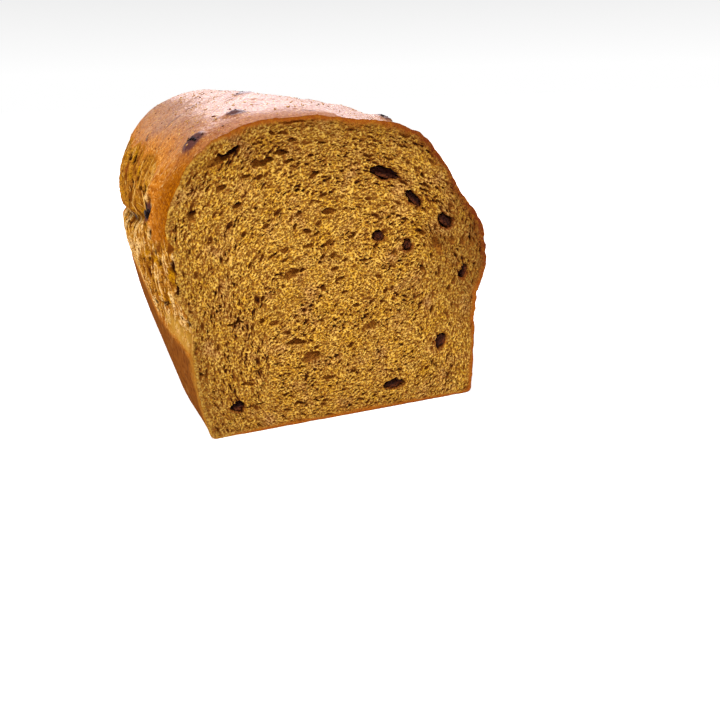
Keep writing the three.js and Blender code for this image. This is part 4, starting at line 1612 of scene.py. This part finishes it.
@dataclass(frozen=True)
class Kind:
    """One kind of small loose piece: how many, and its sizes as least and greatest."""

    name: str
    count: int
    length: Span
    width: Span
    thickness: float  # as a share of the width
    sunk: float  # share of the thickness that lies in what it sits on


BRAN = Kind("bran_flecks", 420, (0.7, 1.9), (0.5, 1.1), 0.35, 0.2)
BURNT = Kind("burnt_specks", 90, (0.7, 2.2), (0.5, 1.0), 0.5, 0.3)
FIBRES = Kind("torn_fibres", 320, (3.0, 9.0), (0.4, 0.8), 0.8, 0.4)
CRUMBS = Kind("loose_crumbs", 170, (0.5, 1.3), (0.4, 0.9), 0.7, 0.45)


@dataclass
class LooseBits:
    """Bran flecks, burnt specks, torn fibres and loose crumbs, one mesh for each kind."""

    skin: Skin
    bran: bpy.types.Material
    burnt: bpy.types.Material
    crumb: bpy.types.Material
    round_faces: int = 5  # faces round a fibre
    long_faces: int = 6  # faces along a fibre
    sway: float = 0.14  # how far a fibre bends, as a share of its length
    face_reach: float = 0.97  # crumbs lie within this share of the way to the edge of the cut
    face_gap: float = 1.2  # and at least this far from a hole or a raisin
    crown_gloss: float = 0.15  # flecks and specks lie where the crust is glossier than this
    torn_share: float = 0.8  # fibres lie where more than this is torn
    open_pit: float = 0.4  # and off the deeper pits
    strand_scatter: float = 0.35  # radians by which fibres lie off the strands

    def build(self) -> None:
        """Scatters each kind where the real loaf has it."""
        marks = self.skin.marks
        crown = marks.gloss > self.crown_gloss
        torn = (marks.shred > self.torn_share) & (marks.pit < self.open_pit)
        self._on_skin(BRAN, crown, self.bran, seed=41)
        self._on_skin(BURNT, crown, self.burnt, seed=42)
        self._on_skin(FIBRES, torn, self.crumb, seed=43)
        self._on_face(CRUMBS, seed=44)

    def _on_skin(
        self, kind: Kind, where: np.ndarray, material: bpy.types.Material, seed: int
    ) -> None:
        """Scatters pieces on the crust.

        Args:
            kind: What is scattered.
            where: Points of the skin that may hold a piece.
            material: Finish of the pieces.
            seed: Start of the random draw.
        """
        random = np.random.default_rng(seed)
        rows, columns = np.nonzero(where[: self.skin.body_rows + self.skin.round_rows])
        bm = bmesh.new()
        for pick in random.integers(0, len(rows), kind.count):
            at = (rows[pick], columns[pick])
            outward = Vector(self.skin.outward[at])
            place = Vector(self.skin.points[at])
            if kind is FIBRES:
                tilt = random.normal(math.pi / 2, self.strand_scatter)
            else:
                tilt = random.uniform(0.0, math.pi)
            self._piece(bm, kind, place, laid_on(outward, tilt), outward, random)
        finished(bm, kind.name, material, Slot.BREAD)

    def _on_face(self, kind: Kind, seed: int) -> None:
        """Scatters crumbs on the cut face, off its holes and raisins."""
        random = np.random.default_rng(seed)
        ring = self.skin.points[0]
        edge = ring[random.integers(0, len(ring), kind.count)]
        share = self.face_reach * np.sqrt(random.random(kind.count))
        x = lerp(TIN_MIDDLE, edge[:, 0], share)
        z = lerp(END_CENTRE[1], edge[:, 2], share)
        sunk = [ellipse_inside(x, z, shape, self.face_gap) for shape in HOLES + CUT_RAISINS]
        whole = np.max(sunk, axis=0) == 0
        outward = Vector((0.0, -1.0, 0.0))
        bm = bmesh.new()
        for place_x, place_z in zip(x[whole], z[whole]):
            turn = laid_on(Vector((0.0, 0.0, 1.0)), random.uniform(0.0, math.pi))
            self._piece(bm, kind, Vector((place_x, FRONT, place_z)), turn, outward, random)
        finished(bm, kind.name, self.crumb, Slot.BREAD)

    def _piece(
        self,
        bm: bmesh.types.BMesh,
        kind: Kind,
        place: Vector,
        turn: Quaternion,
        outward: Vector,
        random: np.random.Generator,
    ) -> None:
        """Adds one piece.

        Args:
            bm: Mesh that it joins.
            kind: Its kind.
            place: Where it sits, in millimetres.
            turn: How it is turned; its length is its own x, and it lies with its y outwards.
            outward: Outward direction at its place.
            random: Random draw.
        """
        length, width = random.uniform(*kind.length), random.uniform(*kind.width)
        thickness = width * kind.thickness
        middle = place + outward * thickness * (0.5 - kind.sunk)
        size = Matrix.Diagonal(Vector((length, thickness, width)) * MM / 2).to_4x4()
        matrix = Matrix.Translation(middle * MM) @ turn.to_matrix().to_4x4() @ size
        if kind is not FIBRES:
            bmesh.ops.create_icosphere(bm, subdivisions=1, radius=1.0, matrix=matrix)
            return
        lying = Matrix.Rotation(math.pi / 2, 4, "Y")
        made = bmesh.ops.create_uvsphere(
            bm, u_segments=self.round_faces, v_segments=self.long_faces, radius=1.0, matrix=lying
        )["verts"]
        bend = random.uniform(-self.sway, self.sway) * length / (width / 2)
        for vertex in made:
            vertex.co.z += bend * (vertex.co.x**2 - 0.5)
        bmesh.ops.transform(bm, matrix=matrix, verts=made)


# ---- Finishes ----


def linear(hex_colour: str) -> tuple[float, float, float, float]:
    """Turns an sRGB hex colour into a linear one."""
    parts = [int(hex_colour[i : i + 2], 16) / 255 for i in (1, 3, 5)]
    turned = [c / 12.92 if c <= 0.04045 else ((c + 0.055) / 1.055) ** 2.4 for c in parts]
    return (*turned, 1.0)


def per_step(millimetres: float) -> float:
    """Scale of a pattern whose features are this far apart, in a material in metres."""
    return 1.0 / (millimetres * MM)


@dataclass
class Graph:
    """Node tree of one material."""

    material: bpy.types.Material

    def add(self, kind: str, inputs: dict | None = None, **settings: object) -> bpy.types.Node:
        """Adds a node.

        Args:
            kind: Its type, without the ShaderNode prefix.
            inputs: Values or sockets for its inputs, by name or number.
            settings: Its own settings.

        Returns:
            The node.
        """
        node = self.material.node_tree.nodes.new("ShaderNode" + kind)
        for name, value in settings.items():
            setattr(node, name, value)
        for key, value in (inputs or {}).items():
            if isinstance(value, bpy.types.NodeSocket):
                self.material.node_tree.links.new(value, node.inputs[key])
            else:
                node.inputs[key].default_value = value
        return node

    def mark(self, name: str) -> bpy.types.NodeSocket:
        """Number stored on the mesh under a name."""
        return self.add("Attribute", attribute_name=name).outputs["Fac"]

    def mixed(self, share: object, first: object, second: object) -> bpy.types.NodeSocket:
        """Mixes two colours, each a socket or a hex colour, by a share from 0 to 1."""
        first, second = (linear(c) if isinstance(c, str) else c for c in (first, second))
        node = self.add("Mix", {0: share, 6: first, 7: second}, data_type="RGBA")
        return node.outputs[2]

    def times(self, first: object, second: object) -> bpy.types.NodeSocket:
        """Product of two numbers."""
        return self.add("Math", {0: first, 1: second}, operation="MULTIPLY").outputs[0]

    def spread(self, value: object, low: float, high: float) -> bpy.types.NodeSocket:
        """Stretches the range from low to high over 0 to 1, and clips the rest."""
        inputs = {"Value": value, "From Min": low, "From Max": high}
        return self.add("MapRange", inputs, interpolation_type="SMOOTHSTEP").outputs[0]

    def noise(self, place: object, millimetres: float, detail: float) -> bpy.types.NodeSocket:
        """Noise whose features are this far apart."""
        inputs = {"Vector": place, "Scale": per_step(millimetres), "Detail": detail}
        return self.add("TexNoise", inputs).outputs["Fac"]

    def surface(self, bump: object, strength: float, depth: float, inputs: dict) -> None:
        """Ends the graph in one shader with a bump.

        Args:
            bump: Height of the bump, from 0 to 1.
            strength: Strength of the bump.
            depth: Real height of the bump, in millimetres.
            inputs: Inputs of the shader.
        """
        settings = {"Height": bump, "Strength": strength, "Distance": depth * MM}
        normal = self.add("Bump", settings).outputs[0]
        shader = self.add("BsdfPrincipled", {**inputs, "Normal": normal})
        self.add("OutputMaterial", {"Surface": shader.outputs[0]})


def new_graph(name: str) -> Graph:
    """Empty material with its graph."""
    material = bpy.data.materials.new(name)
    material.use_nodes = True
    material.node_tree.nodes.clear()
    return Graph(material)


@dataclass(frozen=True)
class CrumbFinish:
    """Baked wheat crumb, yellowed by egg and syrup.

    Gas left it full of cells with thin, soft, matt walls: bright ridges round dark pores. The
    darkness of the cells, pores and holes, and of the crumb towards the crust, is painted shade.
    """

    wall: str = "#F2C45C"
    wall_deep: str = "#CA9020"
    golden: str = "#D8A01C"
    pinkish: str = "#D8A460"
    # colour of the painted shade on the crumb, which the layer stripes also take
    shade: str = "#6C4216"
    # the pore colour and the deepest one below it are painted shade in cells, pores and raisin
    # pockets
    pore: str = "#7A420C"
    deepest_shade: str = "#2C0E08"
    # painted shade inside the holes: the hollow colour, and a darker one in the middles of their
    # cells
    hollow: str = "#9C6018"
    hollow_shadow: str = "#642E0C"
    crust: str = "#964C0C"
    crust_red: str = "#6A2A08"
    stain: str = "#74330C"
    cell: float = 0.85  # millimetres between the finest cells
    grain: float = 0.6
    patch: float = 10.0

    def make(self) -> bpy.types.Material:
        """Makes the material."""
        graph = new_graph("baked_crumb")
        place = graph.add("TexCoord").outputs["Object"]
        wobble = graph.add("TexNoise", {"Vector": place, "Scale": per_step(self.cell * 2)})
        bent = graph.add("VectorMath", {
            0: wobble.outputs["Color"], 1: (self.cell * MM,) * 3, 2: place,
        }, operation="MULTIPLY_ADD").outputs[0]
        cells = graph.add("TexVoronoi", {"Vector": bent, "Scale": per_step(self.cell)})
        closed = graph.spread(cells.outputs["Distance"], 0.2, 0.8)
        fine = graph.spread(graph.noise(place, self.cell, 3.0), 0.3, 0.7)
        wall = graph.mixed(fine, self.wall, self.wall_deep)
        patches = graph.noise(place, self.patch, 3.0)
        wall = graph.mixed(graph.spread(patches, 0.5, 0.85), wall, self.golden)
        wall = graph.mixed(graph.spread(patches, 0.5, 0.2), wall, self.pinkish)
        # painted shade in the middle of each fine cell
        cell_shade = graph.spread(closed, 1.1, -0.36)
        wall = graph.mixed(cell_shade, wall, self.pore)
        # painted shade on the crumb towards the crust; the layer stripes take the same colour
        wall = graph.mixed(graph.spread(graph.mark("layer"), 0.0, 2.0), wall, self.shade)
        wall = graph.mixed(graph.spread(graph.mark("shade"), 0.0, 1.6), wall, self.shade)
        # painted shade inside the holes
        hollow = graph.mixed(graph.spread(closed, 0.9, 0.0), self.hollow, self.hollow_shadow)
        colour = graph.mixed(graph.spread(graph.mark("hollow"), 0.0, 1.25), wall, hollow)
        # painted shade in the pores, at its darkest in the deep pores and the raisin pockets
        pore = graph.mark("pore")
        colour = graph.mixed(graph.spread(pore, 0.05, 0.6), colour, self.pore)
        stained = graph.spread(graph.mark("stain"), 0.0, 1.4)
        colour = graph.mixed(stained, colour, self.stain)
        colour = graph.mixed(graph.spread(pore, 0.52, 0.92), colour, self.deepest_shade)
        crust = graph.mixed(graph.mark("red"), self.crust, self.crust_red)
        crust = graph.mixed(graph.spread(fine, 0.3, 2.6), crust, self.wall_deep)
        colour = graph.mixed(graph.spread(graph.mark("rim"), 0.0, 0.8), colour, crust)
        grain = graph.noise(place, self.grain, 4.0)
        height = graph.add("Math", {0: closed, 1: 0.5, 2: grain}, operation="MULTIPLY_ADD")
        graph.surface(height.outputs[0], 0.6, 0.3, {
            "Base Color": colour,
            "Roughness": 0.8,
            "Specular IOR Level": 0.08,
            "Subsurface Weight": 0.04,
            "Subsurface Radius": (1.0, 0.55, 0.25),
            "Subsurface Scale": 1.0 * MM,
        })
        return graph.material


@dataclass(frozen=True)
class CrustFinish:
    """Baked bread crust.

    Sugar browned and dried into a skin with a soft gloss on the crown and almost none on the
    sides. Where the dough tore as it rose, it shows dry golden strands, with painted highlights on
    their ridges and painted shade in their valleys. Painted shade darkens the pits, slits and
    crease, and the upward-facing top of the crown is painted darker and pinker.
    """

    crown: str = "#C27622"
    crown_dark: str = "#8C460C"
    # painted shade of the upward-facing crown top, pinker under the light from above
    crown_top: str = "#946450"
    speck: str = "#E6B468"
    dark_speck: str = "#6A340E"
    gold: str = "#B86C08"
    gold_dark: str = "#743806"
    tin: str = "#80481A"
    tin_dark: str = "#5A2E12"
    tin_dust: str = "#A07440"
    shred: str = "#C08226"
    # painted highlight on the ridges of the torn crumb
    shred_highlight: str = "#F0C47C"
    shred_gold: str = "#C88C10"
    shred_brown: str = "#90501E"
    # painted shade in the valleys of the torn crumb, and its darker grain
    shred_shade_and_grain: str = "#6C380C"
    # painted shade in pits, slits, open pores and the crease
    pit: str = "#2A0F06"
    stain: str = "#46262C"
    pale: str = "#B48636"

    def make(self) -> bpy.types.Material:
        """Makes the material."""
        graph = new_graph("baked_crust")
        place = graph.add("TexCoord").outputs["Object"]
        slow = graph.spread(graph.noise(place, 18.0, 3.0), 0.35, 0.65)
        mottle = graph.spread(graph.noise(place, 2.6, 5.0), 0.38, 0.68)
        grain = graph.noise(place, 0.8, 3.0)
        crown = graph.mixed(graph.spread(slow, 0.0, 1.8), self.crown, self.crown_dark)
        crown = graph.mixed(graph.spread(mottle, 0.0, 1.6), crown, self.crown_dark)
        # painted: the upward-facing top of the crown is darker and pinker, as the light from above
        # falls on it
        crown = graph.mixed(graph.spread(graph.mark("gloss"), 0.65, 1.25), crown, self.crown_top)
        crumbly = graph.noise(place, 1.0, 3.0)
        crown = graph.mixed(graph.spread(crumbly, 0.54, 0.74), crown, self.speck)
        crown = graph.mixed(graph.spread(crumbly, 0.46, 0.29), crown, self.dark_speck)
        gold = graph.mixed(graph.spread(grain, 0.35, 0.75), self.gold_dark, self.gold)
        gold = graph.mixed(graph.spread(mottle, 0.2, 1.8), gold, self.gold_dark)
        tin = graph.mixed(graph.spread(mottle, 0.0, 1.5), self.tin, self.tin_dark)
        dust = graph.spread(graph.noise(place, 7.0, 5.0), 0.55, 0.9)
        tin = graph.mixed(dust, tin, self.tin_dust)
        # painted highlights and shade that follow the relief of the torn crumb
        strand = graph.mark("strand")
        shred = graph.mixed(graph.spread(strand, 0.1, 0.55), self.shred_shade_and_grain, self.shred)
        patches = graph.noise(place, 6.0, 3.0)
        shred = graph.mixed(graph.spread(patches, 0.5, 0.72), shred, self.shred_gold)
        shred = graph.mixed(graph.spread(patches, 0.48, 0.24), shred, self.shred_brown)
        shred = graph.mixed(graph.spread(strand, 0.5, 0.95), shred, self.shred_highlight)
        shred = graph.mixed(graph.spread(grain, 0.62, 0.3), shred, self.shred_shade_and_grain)
        colour = graph.mixed(graph.mark("gold"), crown, gold)
        colour = graph.mixed(graph.mark("tin"), colour, tin)
        colour = graph.mixed(graph.mark("shred"), colour, shred)
        colour = graph.mixed(graph.spread(graph.mark("pale"), 0.0, 1.3), colour, self.pale)
        colour = graph.mixed(graph.mark("stain"), colour, self.stain)
        colour = graph.mixed(graph.spread(graph.mark("pit"), 0.1, 0.9), colour, self.pit)
        shine = graph.spread(graph.mark("gloss"), 0.25, 1.05)
        sheen = graph.times(shine, graph.spread(grain, 0.1, 0.7))
        sheen = graph.times(sheen, graph.spread(graph.mark("gold"), 0.7, 0.0))
        graph.surface(graph.noise(place, 0.9, 4.0), 0.6, 0.25, {
            "Base Color": colour,
            "Roughness": 0.7,
            "Specular IOR Level": 0.0,
            "Coat Weight": sheen,
            "Coat Roughness": 0.38,
            "Subsurface Weight": 0.04,
            "Subsurface Radius": (1.0, 0.5, 0.2),
            "Subsurface Scale": 0.8 * MM,
        })
        return graph.material


@dataclass(frozen=True)
class FleckFinish:
    """Toasted bran, or dough burnt to specks: small, dry and matt."""

    name: str
    light: str
    dark: str

    def make(self) -> bpy.types.Material:
        """Makes the material."""
        graph = new_graph(self.name)
        place = graph.add("TexCoord").outputs["Object"]
        patches = graph.spread(graph.noise(place, 2.5, 2.0), 0.35, 0.65)
        graph.surface(graph.noise(place, 0.4, 2.0), 0.4, 0.1, {
            "Base Color": graph.mixed(patches, self.light, self.dark),
            "Roughness": 0.75,
            "Specular IOR Level": 0.2,
        })
        return graph.material


@dataclass(frozen=True)
class RaisinFinish:
    """Dried grape: dark, wrinkled skin, sticky in its folds and dull with bloom on its ridges."""

    skin: str = "#100506"
    ridge: str = "#30161A"
    flesh: str = "#1C0908"
    # brown of the painted light on a cut raisin's lower lip, and of browner flesh
    lip: str = "#6A3418"

    def make(self) -> bpy.types.Material:
        """Makes the material."""
        graph = new_graph("dried_grape")
        place = graph.add("TexCoord").outputs["Object"]
        patches = graph.spread(graph.noise(place, 1.6, 3.0), 0.5, 0.75)
        skin = graph.mixed(patches, self.skin, self.ridge)
        flesh = graph.mixed(patches, self.flesh, self.ridge)
        colour = graph.mixed(graph.mark("flesh"), skin, flesh)
        torn = graph.noise(place, 0.9, 2.0)
        # browner flesh, and painted light on the lower lip of a cut raisin
        browned = graph.times(graph.mark("brown"), graph.spread(torn, 0.3, 0.6))
        colour = graph.mixed(browned, colour, self.lip)
        graph.surface(graph.noise(place, 0.7, 3.0), 0.8, 0.35, {
            "Base Color": colour,
            "Roughness": 0.45,
            "Specular IOR Level": 0.06,
        })
        return graph.material


@dataclass(frozen=True)
class FloorFinish:
    """Matt white card, lit a little from below so that it runs into the white behind."""

    colour: str = "#F7F7F7"
    glow: float = 0.56

    def make(self) -> bpy.types.Material:
        """Makes the material."""
        graph = new_graph("white_card")
        shader = graph.add("BsdfPrincipled", {
            "Base Color": linear(self.colour), "Roughness": 0.9, "Specular IOR Level": 0.1,
            "Emission Color": linear(self.colour), "Emission Strength": self.glow,
        })
        graph.add("OutputMaterial", {"Surface": shader.outputs[0]})
        return graph.material


# ---- Studio ----


@dataclass(frozen=True)
class Softbox:
    """Square area light: where it stands and how strong it is."""

    name: str
    place: tuple[float, float, float]
    aim: tuple[float, float, float]
    side: float
    watts: float
    colour: str


@dataclass(frozen=True)
class Studio:
    """White floor, softboxes, and the camera at the viewing angle."""

    camera_place: tuple[float, float, float] = (-0.0938, -0.3656, 0.1360)
    pitch: float = 0.375866  # radians down
    yaw: float = 0.364670  # radians from +Y towards +X
    roll: float = -0.020841
    lens: float = 37.0
    sensor: float = 36.0
    floor_side: float = 6.0
    sky: str = "#FFFFFF"
    sky_low: float = 1.0  # strength of the sky at the horizon
    sky_high: float = 0.5  # and from a little way up to overhead
    sky_turn: float = 0.3  # height of the change, from 0 at the horizon to 1 overhead
    boxes: tuple[Softbox, ...] = (
        Softbox("back_box", (0.2, 0.75, 0.65), (0.0, 0.0, 0.1), 0.6, 6.2, "#FAF0FA"),
        Softbox("key_box", (-0.3, -0.45, 1.0), (0.0, -0.05, 0.06), 0.3, 9.0, "#FFFFFF"),
    )

    def build(self) -> None:
        """Sets up the floor, the lights and the camera."""
        self._floor()
        self._world()
        for box in self.boxes:
            self._light(box)
        self._camera()
        bpy.context.scene.view_settings.view_transform = "Standard"

    def _floor(self) -> None:
        """Floor under the loaf."""
        bm = bmesh.new()
        bmesh.ops.create_grid(bm, x_segments=4, y_segments=4, size=self.floor_side / 2)
        mesh = bpy.data.meshes.new("floor")
        bm.to_mesh(mesh)
        bm.free()
        mesh.materials.append(FloorFinish().make())
        floor = bpy.data.objects.new("floor", mesh)
        bpy.context.scene.collection.objects.link(floor)

    def _world(self) -> None:
        """Even light from all round."""
        world = bpy.data.worlds.new("studio")
        bpy.context.scene.world = world
        world.use_nodes = True
        background = world.node_tree.nodes["Background"]
        background.inputs["Color"].default_value = linear(self.sky)
        tree = world.node_tree
        way = tree.nodes.new("ShaderNodeTexCoord")
        parts = tree.nodes.new("ShaderNodeSeparateXYZ")
        fade = tree.nodes.new("ShaderNodeMapRange")
        fade.inputs["From Min"].default_value = 0.0
        fade.inputs["From Max"].default_value = self.sky_turn
        fade.inputs["To Min"].default_value = self.sky_low
        fade.inputs["To Max"].default_value = self.sky_high
        tree.links.new(way.outputs["Generated"], parts.inputs[0])
        tree.links.new(parts.outputs["Z"], fade.inputs["Value"])
        tree.links.new(fade.outputs[0], background.inputs["Strength"])

    @staticmethod
    def _light(box: Softbox) -> None:
        """One softbox."""
        light = bpy.data.lights.new(box.name, "AREA")
        light.energy = box.watts
        light.size = box.side
        light.color = linear(box.colour)[:3]
        holder = bpy.data.objects.new(box.name, light)
        holder.location = box.place
        way = Vector(box.aim) - Vector(box.place)
        holder.rotation_euler = way.to_track_quat("-Z", "Y").to_euler()
        bpy.context.scene.collection.objects.link(holder)

    def _camera(self) -> None:
        """Camera, turned by its yaw, pitch and roll."""
        level = math.cos(self.pitch)
        forward = Vector((math.sin(self.yaw) * level, math.cos(self.yaw) * level,
                          -math.sin(self.pitch)))
        right = Vector((math.cos(self.yaw), -math.sin(self.yaw), 0.0))
        up = right.cross(forward)
        turned_right = right * math.cos(self.roll) + up * math.sin(self.roll)
        turned_up = up * math.cos(self.roll) - right * math.sin(self.roll)
        data = bpy.data.cameras.new("camera")
        data.lens = self.lens
        data.sensor_width = self.sensor
        data.clip_start = 0.01
        camera = bpy.data.objects.new("camera", data)
        turn = Matrix((turned_right, turned_up, -forward)).transposed().to_4x4()
        camera.matrix_world = Matrix.Translation(self.camera_place) @ turn
        bpy.context.scene.collection.objects.link(camera)
        bpy.context.scene.camera = camera


def main() -> None:
    """Builds the loaf piece by piece, then the studio."""
    logging.basicConfig(level=logging.INFO, format="%(name)s %(message)s")
    Studio().build()
    crust_finish = CrustFinish().make()
    crumb_finish = CrumbFinish().make()
    raisin_finish = RaisinFinish().make()
    fibre_finish = FleckFinish("torn_crumb", "#DCAA52", "#B87C26").make()
    skin = Skin()
    Crust(skin, crust_finish).build()
    Crumb(skin, crumb_finish).build()
    Raisins(skin, raisin_finish).build()
    bran_finish = FleckFinish("toasted_bran", "#DCAE66", "#AE7230").make()
    burnt_finish = FleckFinish("burnt_dough", "#6A3A1E", "#3A1E18").make()
    LooseBits(skin, bran_finish, burnt_finish, fibre_finish).build()


if __name__ == "__main__":
    main()
